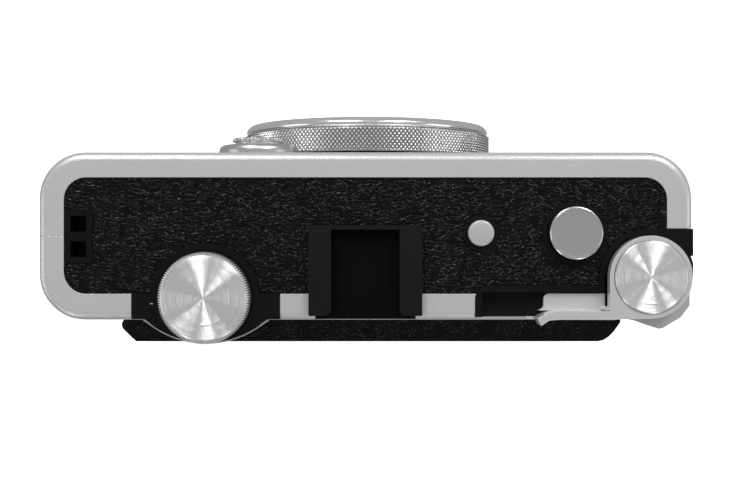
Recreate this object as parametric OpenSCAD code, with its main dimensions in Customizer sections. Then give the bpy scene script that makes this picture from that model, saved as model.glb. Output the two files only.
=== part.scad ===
// Compact instant-print camera in rangefinder style. Millimetres, +Z up, the lens looks along -Y.
// The origin is the mouth of the tripod socket, on the base, under the lens axis.

/* [Body] */
// Width of the two silver shells
body_w = 122.9; // [110:0.1:150]
// Depth of the two silver shells, without the door and the lens
body_d = 31.6; // [30:0.1:40]
// Height of the two silver shells
body_h = 87; // [86:0.5:106]
// Radius of the upright corners
corner_r = 8.6; // [6:0.1:9.5]
// Rounding of the top and bottom edges
edge_r = 1.6; // [0.8:0.1:1.8]
// Wall of the silver shells
wall = 2; // [1.8:0.1:2.4]
// Height of the silver band above the leather band
top_band_h = 24; // [20:0.5:28]
// Height of the silver band below the leather band
base_band_h = 9; // [6:0.5:12]
// Thickness of the leather covering
leather_t = 0.6; // [0.4:0.1:0.8]

/* [Top deck] */
// Silver border at the sides of the deck
frame_side = 4.85; // [4.5:0.1:7]
// Silver border in front of the deck
frame_front = 4.8; // [4:0.1:6]
// Silver border behind the deck
frame_rear = 4.95; // [4.5:0.05:5.5]
// Corner radius of the deck
deck_r = 4.2; // [2:0.1:5]

/* [Controls] */
// Outer radius of the film dial
dial_r = 8.6; // [7:0.1:9.2]
// Height of the film dial
dial_h = 3.6; // [2.5:0.1:5]
// Outer radius of the print lever's hub
lever_r = 7.65; // [7:0.05:8]
// Radius of the shutter button
shutter_r = 5; // [4:0.1:6]
// Travel of the shutter button
shutter_travel = 1.2; // [0.6:0.1:1.5]
// Radius of the function button
function_r = 2.45; // [2:0.05:3.2]
// Travel of the function button
function_travel = 0.6; // [0.3:0.1:0.8]
// Radius of the power dial
power_r = 5.15; // [4:0.05:6]

/* [Accessory shoe] */
// Gap between the lips of the shoe
shoe_gap = 12.8; // [12.5:0.1:13]
// Width between the walls of the shoe
shoe_inner_w = 18.8; // [18.6:0.1:19]
// Height under the lips of the shoe
shoe_slot_h = 2.1; // [2:0.05:2.3]

/* [Lens] */
// Height of the lens axis above the base
lens_z = 42; // [40:0.5:46]
// Outer radius of the knurled lens ring
ring_r = 27.4; // [22:0.05:28]
// Length of the knurled lens ring
ring_len = 4.9; // [4:0.1:7]
// Length of the plain rim in front of the ring
rim_len = 2; // [1:0.1:3.2]

/* [Film] */
// Width of the film pack
pack_w = 89; // [86:0.5:89.5]
// Height of the film pack
pack_h = 62.5; // [60:0.5:63]
// Thickness of the film pack
pack_t = 20.2; // [18:0.1:20.5]
// Thickness of the film door behind the rear face
door_t = 4.65; // [3.8:0.05:6]
// Radius of the film rollers
roller_r = 2.6; // [2.2:0.05:2.8]

/* [Fixings] */
// Thread radius of the tripod socket
tripod_r = 2.6; // [2.5:0.05:3]
// Depth of the tripod socket
tripod_len = 4.5; // [4:0.1:5.5]
// Running clearance of turning and sliding parts
run_gap = 0.08; // [0.05:0.01:0.12]
// Gap at covers and doors
fit_gap = 0.2; // [0.1:0.05:0.3]

/* [Hidden] */
$fn = 96;
eps = 0.02;

front_y = -body_d / 2;
rear_y = body_d / 2;
side_x = body_w / 2;

// Levels of the top deck
leather_top_z = body_h - 0.3;
deck_top_z = leather_top_z - leather_t;
deck_t = 1.8;
deck_flange_z = body_h - wall - 1.2;
base_plate_t = 2.3;
recess_z = body_h - 2.4;

// Places of the controls
dial_x = 29.95;
dial_y = rear_y - 4.25;
dial_seat_r = dial_r + 1.55;
dial_shaft_r = 2.2;
wing_half = 13.9;
bulge_drop = 0.6;
lever_x = -(side_x - 8.6);
lever_y = rear_y - 8.2;
lever_shaft_r = 2.5;
lever_z = body_h + 0.9;
lever_t = 2.4;
lever_hub_r = lever_r - 0.2;
lever_well_r = lever_r + 1.3;
arm_t = 1.6;
arm_rear_y = lever_y + lever_r + 0.25;
arm_z = recess_z + 0.35;
arm_bend_x = lever_x + 17.25;
arm_tip_x = lever_x + 21.05;
ledge_x0 = lever_x + lever_r + 0.15;
ledge_x1 = lever_x + 19.35;
ledge_front_y = rear_y - 5;
well_x1 = lever_x + 32.25;
pad_end_x = lever_x + 3.35;
shutter_x = -39.25;
function_x = -21.65;
button_y = front_y + 15.25;
collar_w = 0.85;
power_x = 21.4;
power_z = body_h - 14;
shoe_rear_y = rear_y - 0.9;
shoe_floor_y = rear_y - 0.2;
shoe_len = 16.9;
shoe_wall = 1;
shoe_lip_t = 1.2;
shoe_floor_z = body_h - 1.8;
top_board_x0 = -46.5;
top_board_x1 = -15;
top_board_z = body_h - 8.2;
strap_x = side_x - 7.6;
strap_slot = 3;
strap_bar = 1.75;
strap_y = 0.1;

// Lens stack, from the front face outwards
neck_r = ring_r - 2.6;
flange_len = 1.5;
ring_y0 = front_y - flange_len - 0.1;
ring_y1 = ring_y0 - ring_len;
rim_r = ring_r - 0.45;
rim_y1 = ring_y1 - 0.1 - rim_len;
barrel_bore_r = 15;
window_r = 13;

// Flash, mirror and front button
flash_x = -36;
flash_w = 20;
flash_h = 9;
flash_z = body_h - 13.5;
mirror_x = -42;
mirror_z = body_h - 31;
mirror_r = 3.4;
front_button_x = -46;
front_button_z = 24;
front_button_r = 4.4;
front_button_travel = 0.8;

// Film chamber, door and rollers
chamber_wall = 1.2;
chamber_gap = 0.4;
chamber_x1 = 42.2;
chamber_x0 = chamber_x1 - pack_w - chamber_gap;
socket_cap = 0.8;
chamber_z0 = tripod_len + socket_cap + 0.3 + chamber_wall;
chamber_z1 = chamber_z0 + pack_h + chamber_gap;
chamber_y1 = rear_y - 0.4;
chamber_y0 = chamber_y1 - pack_t - chamber_gap;
door_z0 = 5;
door_z1 = body_h - 8;
door_gap = 0.15;
door_face_y = rear_y + door_t;
door_x0 = -49.5;
knuckle_r = 1.3;
hinge_x = chamber_x1 + 3.9;
hinge_y = rear_y + knuckle_r + 0.1;
hinge_pin_r = 0.55;
door_x1 = hinge_x + knuckle_r * cos(45) - (door_t - knuckle_r - 0.1 - knuckle_r * sin(45));
leaf_knuckles = [[14, 26], [54, 66]];
window_x0 = chamber_x0 - 0.3;
window_x1 = chamber_x1 + 0.1;
window_z0 = chamber_z0 - 0.4;
window_z1 = chamber_z1 + 0.4;
screen_x0 = -27;
screen_x1 = 39;
screen_z0 = 16;
screen_z1 = 68;
glass_t = 0.9;
panel_t = 2.2;
pad_x = -38.7;
pad_z = 42;
pad_r = 7;
pad_proud = 2.4;
ok_r = 2.8;
small_button_r = 2.4;
play_z = 60;
back_z = 24;
key_travel = 0.4;
latch_x = -43;
latch_z = 13;
roller_x = 50.4;
film_y = chamber_y0 + 1.6;
plate_t = 1.2;
plate_z = chamber_z1 + chamber_wall;
foot_z = chamber_z0 - chamber_wall - plate_t;
gear_z = plate_z + plate_t + 0.4;
roller_shaft_r = 1;
front_roller_y = film_y - roller_r - 0.05;
rear_roller_y = film_y + roller_r + 0.05;
idler_post_r = 0.9;
motor_r = 4;
motor_shaft_r = 0.6;
gear_t = 2;
gear_teeth = 14;
gear_m = (2 * roller_r + 0.1) / gear_teeth;
idler_teeth = 24;
pinion_teeth = 10;
idler_angle = 195;
idler_dist = gear_m * (gear_teeth + idler_teeth) / 2;
idler_x = roller_x + idler_dist * cos(idler_angle);
idler_y = front_roller_y + idler_dist * sin(idler_angle);
pinion_x = idler_x - gear_m * (idler_teeth + pinion_teeth) / 2;
motor_z = gear_z + gear_t + 1.4;

// Port door on the right-hand side
port_y0 = 0.7;
port_pin_y = 6.7;
port_z0 = 22;
port_z1 = 52;
port_t = 1.2;
port_pin_r = 0.3;

silver = [0.78, 0.78, 0.77];
black = [0.06, 0.06, 0.06];
leather_colour = [0.09, 0.09, 0.09];
steel = [0.66, 0.67, 0.68];
board_green = [0.05, 0.25, 0.14];

// ---- Shapes used by several pieces ----

// Rectangle with round corners, centred
module rounded_rect(w, d, r) {
    square([w - 2 * r, d], center = true);
    square([w, d - 2 * r], center = true);
    for (x = [-1, 1], y = [-1, 1])
        translate([x * (w / 2 - r), y * (d / 2 - r)]) circle(r);
}

// Half of a slice through a soft edge: a bar of depth d whose upper corners are round
module edge_slice(d, r) {
    translate([-d / 2, 0]) square([d, eps]);
    translate([-d / 2 + r, 0]) square([d - 2 * r, r]);
    for (x = [-1, 1])
        intersection() {
            translate([x * (d / 2 - r), 0]) circle(r);
            translate([-d / 2, 0]) square([d, r]);
        }
}

// Round slab of radius r and height e whose upper rim is rounded by e
module soft_disc(r, e) {
    rotate_extrude() {
        square([r - e, e]);
        intersection() {
            translate([r - e, 0]) circle(e);
            square([r, e]);
        }
    }
}

// Upper or lower edge of the body, e high
module soft_edge(w, d, rc, e) {
    for (x = [-1, 1], y = [-1, 1])
        translate([x * (w / 2 - rc), y * (d / 2 - rc), 0]) soft_disc(rc, e);
    rotate([90, 0, 90]) linear_extrude(w - 2 * rc, center = true) edge_slice(d, e);
    rotate([90, 0, 0]) linear_extrude(d - 2 * rc, center = true) edge_slice(w, e);
}

// Box with round upright corners and soft top and bottom edges
module soft_box(w, d, h, rc, e) {
    translate([0, 0, e]) linear_extrude(h - 2 * e) rounded_rect(w, d, rc);
    translate([0, 0, h - e]) soft_edge(w, d, rc, e);
    translate([0, 0, e]) mirror([0, 0, 1]) soft_edge(w, d, rc, e);
}

module box(x0, x1, y0, y1, z0, z1) translate([x0, y0, z0]) cube([x1 - x0, y1 - y0, z1 - z0]);

// Cylinder along -Y from y0 forwards
module stud_y(x, z, y0, len, r) translate([x, y0, z]) rotate([90, 0, 0]) cylinder(h = len, r = r);

module stud_z(x, y, z0, len, r) translate([x, y, z0]) cylinder(h = len, r = r);

module body_cavity() {
    translate([0, 0, wall]) linear_extrude(body_h - 2 * wall)
        rounded_rect(body_w - 2 * wall, body_d - 2 * wall, corner_r - wall);
}

module front_half(y = 0) box(-200, 200, -200, y, -10, 300);
module rear_half(y = 0) box(-200, 200, y, 200, -10, 300);

// Outline of the deck window in the top of the shells
module deck_outline(grow = 0) {
    y0 = front_y + frame_front;
    y1 = rear_y - frame_rear;
    translate([0, (y0 + y1) / 2])
        rounded_rect(body_w - 2 * frame_side + 2 * grow, y1 - y0 + 2 * grow, deck_r + grow);
}

// Bulge behind the film dial: straight flanks and a flat arc
module bulge_outline(inset = 0) {
    reach = 4.5 - inset;
    half = 9.45;
    flank = 1.7 - inset;
    sag = reach - flank;
    arc_r = (half * half + sag * sag) / (2 * sag);
    translate([dial_x, rear_y]) {
        polygon([[-11.95 + inset, -2], [-11.95 + inset, -inset], [-half, flank],
            [half, flank], [11.95 - inset, -inset], [11.95 - inset, -2]]);
        intersection() {
            translate([0, reach - arc_r]) circle(arc_r, $fn = 200);
            translate([-half, flank - eps]) square([2 * half, sag + 1]);
        }
    }
}

// Black plate under the film dial: two wings, a collar that ends at the rear face, and the bulge
module dial_base_slab(z0, height, inset = 0) {
    y0 = rear_y - frame_rear + inset;
    y1 = rear_y - 0.2 - inset;
    translate([dial_x - wing_half + inset, y0, z0]) cube([2 * (wing_half - inset), y1 - y0, height]);
    difference() {
        stud_z(dial_x, dial_y, z0, height, dial_seat_r - inset);
        box(dial_x - 20, dial_x + 20, y1 - 0.1, rear_y + 20, z0 - 1, z0 + height + 1);
    }
    translate([0, 0, z0]) linear_extrude(height) bulge_outline(0.35 + inset);
}

// Outer edge of the black plate under the print lever
module lever_base_outline(inset = 0) {
    corner = 2.6;
    y0 = rear_y - 6.5 + inset;
    x1 = well_x1 - inset;
    intersection() {
        union() {
            translate([lever_x, y0]) square([x1 - lever_x - corner, 20]);
            translate([lever_x, y0 + corner]) square([x1 - lever_x, 20]);
            translate([x1 - corner, y0 + corner]) circle(corner);
            translate([lever_x, lever_y]) circle(lever_well_r - inset);
        }
        translate([-side_x, -side_x]) square([body_w, side_x + rear_y - 0.6]);
    }
}

// Floor of the lever's recess; behind the hub it stays inside the silver corner
module lever_floor_outline(inset = 0) {
    difference() {
        lever_base_outline(inset);
        lever_corner_outline();
    }
    intersection() {
        lever_base_outline(inset);
        lever_corner_outline();
        rounded_rect(body_w - 2.4 - 2 * inset, body_d - 2.4 - 2 * inset, corner_r - 1.2 - inset);
    }
}

module lever_corner_outline() translate([-side_x - 1, lever_y]) square([pad_end_x + side_x + 1, 20]);

// Black cheek in front of the lever, which reaches the side of the body
module lever_cheek_outline(inset = 0) {
    intersection() {
        translate([-side_x - 1, lever_y - lever_well_r + inset])
            square([side_x + 1 + lever_x, 5.1 - inset]);
        rounded_rect(body_w - 2 * inset, body_d, corner_r);
    }
}

// Silver corner pad under the lever
module lever_pad_outline() {
    polygon([[pad_end_x, rear_y - 6], [pad_end_x, rear_y - 0.05], [pad_end_x - 1.4, rear_y + 0.25],
        [pad_end_x - 3, rear_y + 0.75], [pad_end_x - 4.6, rear_y + 1.35], [lever_x - 2.7, rear_y + 1.8],
        [lever_x - 3.4, rear_y + 1.7], [lever_x - 6.9, rear_y - 0.35], [-side_x, rear_y - 2.6],
        [-side_x, rear_y - 9], [-side_x + 4, rear_y - 9]]);
}

// Spur gear with straight-sided teeth and free backlash; a tooth points along +X when turn is 0
module gear_outline(teeth, turn = 0) {
    pitch_r = gear_m * teeth / 2;
    root_r = pitch_r - 1.25 * gear_m;
    tip_r = pitch_r + 0.75 * gear_m;
    half_root = 0.85 * gear_m;
    half_tip = 0.28 * gear_m;
    circle(root_r);
    for (i = [0:teeth - 1])
        rotate(turn + 360 * i / teeth)
            polygon([[root_r - 0.2, -half_root], [tip_r, -half_tip], [tip_r, half_tip], [root_r - 0.2, half_root]]);
}

// Round wire wound into a coil about +Z
module coil(coil_r, wire_r, turns, length, steps = 14, sides = 6) {
    count = turns * steps;
    points = [for (i = [0:count]) let (a = 360 * i / steps)
        for (k = [0:sides - 1]) let (b = 360 * k / sides)
            [(coil_r + wire_r * cos(b)) * cos(a), (coil_r + wire_r * cos(b)) * sin(a),
                length * i / count + wire_r * sin(b)]];
    skins = [for (i = [0:count - 1]) for (k = [0:sides - 1]) let (n = (k + 1) % sides)
        [i * sides + k, i * sides + n, (i + 1) * sides + n, (i + 1) * sides + k]];
    polyhedron(points, concat(skins, [[for (k = [sides - 1:-1:0]) k]],
        [[for (k = [0:sides - 1]) count * sides + k]]), convexity = 4);
}

// Countersunk or pan screw, head up, with a cross recess
module screw(head_r, head_h, shank_r, shank_len) {
    difference() {
        cylinder(h = head_h, r = head_r);
        for (a = [0, 90]) rotate(a) translate([0, 0, head_h]) cube([head_r * 1.2, 0.35, head_h], center = true);
    }
    translate([0, 0, -shank_len]) cylinder(h = shank_len + eps, r = shank_r);
}

// Band of the body's outer surface, t thick, from z0 to z1
module skin_band(t, proud, z0, z1) {
    translate([0, 0, z0]) linear_extrude(z1 - z0) difference() {
        rounded_rect(body_w + 2 * proud, body_d + 2 * proud, corner_r + proud);
        rounded_rect(body_w + 2 * (proud - t), body_d + 2 * (proud - t), corner_r + proud - t);
    }
}

leather_z0 = base_band_h;
leather_z1 = body_h - top_band_h;
leather_proud = 0.2;

// ---- Shells and coverings ----

module shell_body() {
    difference() {
        soft_box(body_w, body_d, body_h, corner_r, edge_r);
        body_cavity();
        skin_band(leather_t - leather_proud + 1, 1, leather_z0, leather_z1);
        translate([0, 0, body_h - wall - 1]) linear_extrude(wall + 2) deck_outline();
    }
}

base_screw_places = [for (x = [-1, 1], y = [-1, 1]) [x * (side_x - 8), y * (rear_y - 6)]];

module base_holes() {
    stud_z(0, 0, -1, wall + 2, 4.6);
    for (p = base_screw_places) {
        stud_z(p[0], p[1], -1, 2.1, 2);
        stud_z(p[0], p[1], -1, wall + 2, 0.95);
    }
}

exit_y0 = -5.6;
exit_z0 = chamber_z0 + 1;
exit_z1 = chamber_z1 - 1;

module front_shell() color(silver) {
    difference() {
        intersection() {
            shell_body();
            front_half();
        }
        stud_y(0, lens_z, front_y + wall + 1, wall + 2, neck_r - 1);
        stud_y(power_x, power_z, front_y + wall + 1, wall + 2, 1.7);
        box(flash_x - flash_w / 2, flash_x + flash_w / 2, front_y - 1, front_y + wall + 1,
            flash_z - flash_h / 2, flash_z + flash_h / 2);
        stud_y(front_button_x, front_button_z, front_y + wall + 1, wall + 2, front_button_r + 0.1);
        box(side_x - wall - 1, side_x + 1, exit_y0, 1, exit_z0, exit_z1);
        base_holes();
        lever_pocket();
    }
}

// What the lever's black plates take out of the silver shells
module lever_pocket() {
    translate([0, 0, recess_z - 1.2]) linear_extrude(10) {
        lever_floor_outline(-0.05);
        lever_cheek_outline(-0.05);
    }
    box(-side_x - 5, pad_end_x, lever_y - 0.1, rear_y + 5, recess_z, body_h + 5);
    box(lever_x, arm_tip_x + 1.6, rear_y - 1, rear_y + 5, recess_z, body_h + 5);
}

module rear_shell() color(silver) {
    difference() {
        union() {
            intersection() {
                shell_body();
                rear_half();
            }
            translate([0, 0, body_h - 8 + edge_r]) linear_extrude(8 - edge_r - bulge_drop) bulge_shell_outline();
            translate([0, 0, recess_z - 6]) linear_extrude(6) difference() {
                lever_pad_outline();
                rounded_rect(body_w - 2 * wall, body_d - 2 * wall, corner_r - wall);
            }
        }
        dial_base_slab(body_h - base_plate_t, 10, -0.05);
        lever_pocket();
        box(-shoe_inner_w / 2 - shoe_wall - 0.05, shoe_inner_w / 2 + shoe_wall + 0.05, 0, shoe_rear_y + 0.05,
            shoe_floor_z - 1.05, body_h + 1);
        box(-shoe_inner_w / 2, shoe_inner_w / 2, 0, rear_y + 1, shoe_floor_z, body_h + 1);
        box(-shoe_inner_w / 2 - 0.05, shoe_inner_w / 2 + 0.05, 0, shoe_floor_y + 0.05, shoe_floor_z - 1.05, body_h + 1);
        box(window_x0, window_x1, rear_y - wall - 1, rear_y + 1, window_z0, window_z1);
        box(latch_x - 1.9, latch_x + 1.9, rear_y - wall - 1, rear_y + 1, window_z0 - 1.4, window_z0 + 1);
        port_bay();
        base_holes();
    }
}

// The bulge is open inside, down to the rear wall
module bulge_shell_outline() {
    difference() {
        bulge_outline();
        translate([-side_x, -side_x]) square([body_w, side_x + rear_y - wall]);
    }
}

module front_leather() color(leather_colour) {
    difference() {
        intersection() {
            skin_band(leather_t, leather_proud, leather_z0 + 0.05, leather_z1 - 0.05);
            front_half();
        }
        stud_y(0, lens_z, front_y + 2, 4, neck_r + 1.25);
        stud_y(front_button_x, front_button_z, front_y + 2, 4, front_button_r + 0.7);
        stud_y(mirror_x, mirror_z, front_y + 2, 4, mirror_r + 0.05);
        box(side_x - 3, side_x + 3, exit_y0 - 0.05, 1, exit_z0 - 1.05, exit_z1 + 1.05);
        box(side_x - 3, side_x + 3, exit_y0 - 0.05, 1, leather_z1 - 2, leather_z1 + 2);
    }
}

module rear_leather() color(leather_colour) {
    difference() {
        intersection() {
            skin_band(leather_t, leather_proud, leather_z0 + 0.05, leather_z1 - 0.05);
            rear_half();
        }
        box(door_x0 - 0.3, hinge_x + knuckle_r + 0.3, rear_y - 3, rear_y + 3, 0, body_h);
        box(-side_x - 3, -side_x + 3, port_y0 - 0.6, port_pin_y + 1.2, port_z0 - 0.6, port_z1 + 0.6);
    }
}

// ---- Top deck ----

shoe_pocket_half = shoe_inner_w / 2 + shoe_wall + 0.1;

module deck_cuts() {
    dial_base_slab(body_h - base_plate_t - 0.05, 10, -0.05);
    translate([0, 0, recess_z - 1.25]) linear_extrude(10) {
        lever_base_outline(-0.05);
        lever_cheek_outline(-0.05);
    }
    box(-shoe_pocket_half, shoe_pocket_half, shoe_rear_y - shoe_len - 0.1, rear_y + 1, shoe_floor_z - 1.05, body_h + 5);
    box(strap_x - 2.65, strap_x + 20, strap_y - 5.15, strap_y + 5.15, body_h - 8, body_h + 5);
    stud_z(shutter_x, button_y, 0, 200, shutter_r + 0.15);
    stud_z(function_x, button_y, 0, 200, function_r + 0.12);
    stud_z(dial_x, dial_y, 0, 200, dial_shaft_r + 0.6);
    stud_z(lever_x, lever_y, 0, 200, lever_shaft_r + 0.6);
    for (p = shoe_screw_places) stud_z(p[0], p[1], 0, 200, 0.65);
}

module top_deck() color(black) {
    difference() {
        union() {
            translate([0, 0, deck_flange_z]) linear_extrude(deck_top_z - deck_flange_z) deck_outline(-0.1);
            translate([0, 0, deck_flange_z]) linear_extrude(1.2) intersection() {
                deck_outline(1.8);
                rounded_rect(body_w - 2 * wall - 0.4, body_d - 2 * wall - 0.4, corner_r - wall - 0.2);
            }
            stud_z(shutter_x, button_y, deck_flange_z, body_h - 0.1 - deck_flange_z, shutter_r + 0.15 + collar_w);
            stud_z(function_x, button_y, deck_flange_z, body_h - 0.1 - deck_flange_z, function_r + 0.12 + collar_w);
            for (x = [top_board_x0 + 1.5, top_board_x1 - 1.5])
                stud_z(x, button_y - 4.5, top_board_z + 1, deck_flange_z - top_board_z, 1);
        }
        deck_cuts();
    }
}

module top_leather() color(leather_colour) {
    difference() {
        translate([0, 0, deck_top_z]) linear_extrude(leather_t) deck_outline(-0.1);
        deck_cuts();
        stud_z(shutter_x, button_y, 0, 200, shutter_r + 0.2 + collar_w);
        stud_z(function_x, button_y, 0, 200, function_r + 0.17 + collar_w);
    }
}

module dial_base() color(black) {
    difference() {
        dial_base_slab(body_h - base_plate_t, base_plate_t + 0.1);
        stud_z(dial_x, dial_y, body_h - 0.5, 5, dial_r + 0.3);
        stud_z(dial_x, dial_y, 0, 200, dial_shaft_r + run_gap);
    }
}

module lever_base() color(black) {
    z0 = recess_z - 1.2;
    difference() {
        union() {
            translate([0, 0, z0]) linear_extrude(body_h + 0.1 - z0) difference() {
                lever_base_outline();
                lever_base_outline(1.3);
                lever_sweep_outline();
            }
            translate([0, 0, z0]) linear_extrude(1.2) lever_floor_outline();
            translate([0, 0, z0]) linear_extrude(body_h + 0.1 - z0) lever_cheek_outline();
            stud_z(lever_x, lever_y, recess_z - eps, body_h + 0.5 - recess_z, lever_hub_r);
        }
        stud_z(lever_x, lever_y, 0, 200, lever_shaft_r + run_gap);
        stud_z(lever_x, lever_y, lever_z - 0.3, 10, lever_well_r + 5);
    }
}

// Ground that the lever's arm passes over, which stays at the level of the recess
module lever_sweep_outline() {
    translate([-side_x - 5, lever_y]) square([lever_x + side_x + 5 + 8, 20]);
    translate([lever_x, ledge_front_y - 0.2]) square([well_x1 - lever_x - 1.3, 20]);
}

module strap_anchor() color(black) {
    half_slot = strap_slot / 2;
    difference() {
        translate([0, 0, body_h - 7]) linear_extrude(7 - 0.25) intersection() {
            translate([strap_x - 2.55, strap_y - 5.05]) square([20, 10.1]);
            deck_outline(-0.1);
        }
        for (s = [-1, 1])
            box(strap_x - half_slot + 0.05, strap_x + half_slot + 0.05,
                s > 0 ? strap_y + strap_bar / 2 : strap_y - strap_bar / 2 - strap_slot,
                s > 0 ? strap_y + strap_bar / 2 + strap_slot : strap_y - strap_bar / 2, body_h - 5.5, body_h + 1);
        box(strap_x - half_slot + 0.05, strap_x + half_slot + 0.05, strap_y - strap_bar / 2 - strap_slot,
            strap_y + strap_bar / 2 + strap_slot, body_h - 5.5, body_h - 2.2);
    }
}

module accessory_shoe() color(black) {
    half = shoe_inner_w / 2;
    y0 = shoe_rear_y - shoe_len;
    z_lip = shoe_floor_z + shoe_slot_h;
    difference() {
        union() {
            box(-half - shoe_wall, half + shoe_wall, y0, shoe_rear_y, shoe_floor_z - 1, shoe_floor_z);
            box(-half, half, y0, shoe_floor_y, shoe_floor_z - 1, shoe_floor_z);
            for (s = [0, 1]) mirror([s, 0, 0]) {
                box(half, half + shoe_wall, y0, shoe_rear_y, shoe_floor_z - 1, z_lip + shoe_lip_t);
                translate([0, 0, z_lip]) linear_extrude(shoe_lip_t) {
                    translate([shoe_gap / 2, y0]) square([half - shoe_gap / 2 + 0.5, shoe_len - 1.2]);
                    translate([shoe_gap / 2 + 1.2, y0]) square([half - shoe_gap / 2, shoe_len]);
                    translate([shoe_gap / 2 + 1.2, shoe_rear_y - 1.2]) circle(1.2);
                }
            }
            box(-half, half, y0, y0 + 0.8, shoe_floor_z - 1, z_lip + 0.5);
        }
        for (p = shoe_screw_places) {
            stud_z(p[0], p[1], shoe_floor_z - 0.5, 1, 1.25);
            stud_z(p[0], p[1], shoe_floor_z - 3, 5, 0.75);
        }
    }
}

shoe_screw_places = [for (x = [-1, 1], y = [4, shoe_len - 3.2]) [x * 4.2, shoe_rear_y - shoe_len + y]];

// Spring plate over the shoe's floor, with a bowed blade under each lip
module shoe_spring() color(black) {
    half = shoe_inner_w / 2 - 0.15;
    y0 = shoe_rear_y - shoe_len + 0.95;
    z0 = shoe_floor_z + 0.02;
    box(-half, half, y0, shoe_floor_y - 0.1, z0, z0 + 0.25);
    for (s = [0, 1]) mirror([s, 0, 0])
        translate([half - 2.2, y0 + 7.2, z0]) rotate([90, 0, 90]) linear_extrude(2.2)
            polygon([[-4, 0.2], [0, 0.9], [4, 0.2], [4, 0.45], [0, 1.15], [-4, 0.45]]);
}

// ---- Lens ----

module lens_barrel() color(black) {
    difference() {
        union() {
            stud_y(0, lens_z, front_y + wall + 1.2, wall + 1.2, neck_r - 1.1);
            stud_y(0, lens_z, front_y, flange_len, neck_r + 1.2);
            stud_y(0, lens_z, front_y, flange_len + ring_len + 0.2, neck_r);
        }
        stud_y(0, lens_z, front_y + wall + 5, 50, barrel_bore_r - 4);
        stud_y(0, lens_z, ring_y1 + 2.2, 50, barrel_bore_r);
        translate([0, ring_y1 + 0.6, lens_z]) rotate([90, 0, 0]) cylinder(h = 5, r = neck_r - 4);
    }
}

module front_rim() color(steel) {
    y0 = ring_y1 - 0.1;
    translate([0, y0, lens_z]) rotate([90, 0, 0]) rotate_extrude() {
        translate([neck_r - 3.9, 0]) square([rim_r - neck_r + 3.9, rim_len - 0.8]);
        translate([neck_r - 3.1, 0]) square([rim_r - neck_r + 2.3, rim_len]);
        translate([rim_r - 0.8, rim_len - 0.8]) circle(0.8);
        translate([neck_r - 3.1, rim_len - 0.8]) circle(0.8);
    }
}

module lens_window() color([0.2, 0.25, 0.3, 0.5]) {
    stud_y(0, lens_z, ring_y1 + 2.2, 1.2, barrel_bore_r - 0.05);
}

module camera_module() color([0.12, 0.12, 0.13]) {
    difference() {
        union() {
            stud_y(0, lens_z, front_y + 1, flange_len + 2.6, 6);
            stud_y(0, lens_z, front_y + wall + 1, 2.4, barrel_bore_r - 4.3);
            box(-7.2, 7.2, front_y + wall + 0.9, front_y + wall + 2, lens_z - 7.2, lens_z + 7.2);
        }
        stud_y(0, lens_z, front_y - flange_len - 0.6, 3, 4.2);
        stud_y(0, lens_z, front_y - flange_len + 0.4, 3, 2.6);
    }
}

module lens_ring() color(silver) {
    translate([0, ring_y0, lens_z]) rotate([90, 0, 0]) difference() {
        union() {
            translate([0, 0, 0.3]) cylinder(h = ring_len - 0.6, r = ring_r);
            cylinder(h = ring_len, r = ring_r - 0.3);
        }
        translate([0, 0, -1]) cylinder(h = ring_len + 2, r = neck_r + run_gap);
    }
}

module power_collar() color(silver) {
    translate([power_x, front_y, power_z]) rotate([90, 0, 0]) difference() {
        union() {
            soft_disc_high(power_r + 2.65, 2.2, 1.2);
            translate([0, 0, -wall - 0.8]) cylinder(h = wall + 1, r = 1.65);
        }
        translate([0, 0, -10]) cylinder(h = 20, r = 1 + run_gap);
    }
}

// Round slab of height h, its front rim rounded by e
module soft_disc_high(r, h, e) {
    cylinder(h = h - e + eps, r = r);
    translate([0, 0, h - e]) soft_disc(r, e);
}

module power_dial() color(silver) {
    translate([power_x, front_y - 2.3, power_z]) rotate([90, 0, 0]) {
        difference() {
            soft_disc_high(power_r, 1.3, 0.3);
            translate([0, power_r - 1.6, 0.9]) cylinder(h = 1, r = 0.5);
        }
        translate([0, 0, -wall - 3.6]) cylinder(h = wall + 4, r = 1);
    }
}

module flash_window() color([0.9, 0.9, 0.88, 0.6]) {
    difference() {
        box(flash_x - flash_w / 2 + 0.05, flash_x + flash_w / 2 - 0.05, front_y + 0.1, front_y + 1.4,
            flash_z - flash_h / 2 + 0.05, flash_z + flash_h / 2 - 0.05);
        for (i = [-8:8])
            box(flash_x + i * 1.1 - 0.2, flash_x + i * 1.1 + 0.2, front_y + 1.1, front_y + 2,
                flash_z - flash_h / 2 + 0.6, flash_z + flash_h / 2 - 0.6);
    }
}

module flash_reflector() color(steel) {
    y0 = front_y + 1.5;
    difference() {
        box(flash_x - flash_w / 2 + 0.1, flash_x + flash_w / 2 - 0.1, y0, y0 + 6, flash_z - 4.3, flash_z + 4.3);
        translate([flash_x, y0 + 1.2, flash_z]) rotate([0, 90, 0])
            cylinder(h = flash_w - 1.6, r = 3.7, center = true);
        box(flash_x - flash_w / 2 + 0.8, flash_x + flash_w / 2 - 0.8, y0 - 1, y0 + 1.2, flash_z - 3.7, flash_z + 3.7);
        translate([flash_x, y0 + 3, flash_z]) rotate([0, 90, 0]) cylinder(h = flash_w + 2, r = 1.05, center = true);
    }
}

module flash_tube() color([0.85, 0.88, 0.9, 0.6]) {
    translate([flash_x, front_y + 4.5, flash_z]) rotate([0, 90, 0]) cylinder(h = flash_w + 1, r = 1, center = true);
}

// Convex mirror: a disc with a domed face
module selfie_mirror() color(steel) {
    dome_r = 12;
    height = 1;
    translate([mirror_x, front_y + leather_t - leather_proud, mirror_z]) rotate([90, 0, 0]) rotate_extrude()
        intersection() {
            translate([0, height - dome_r]) circle(dome_r, $fn = 200);
            square([mirror_r, height]);
        }
}

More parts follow.
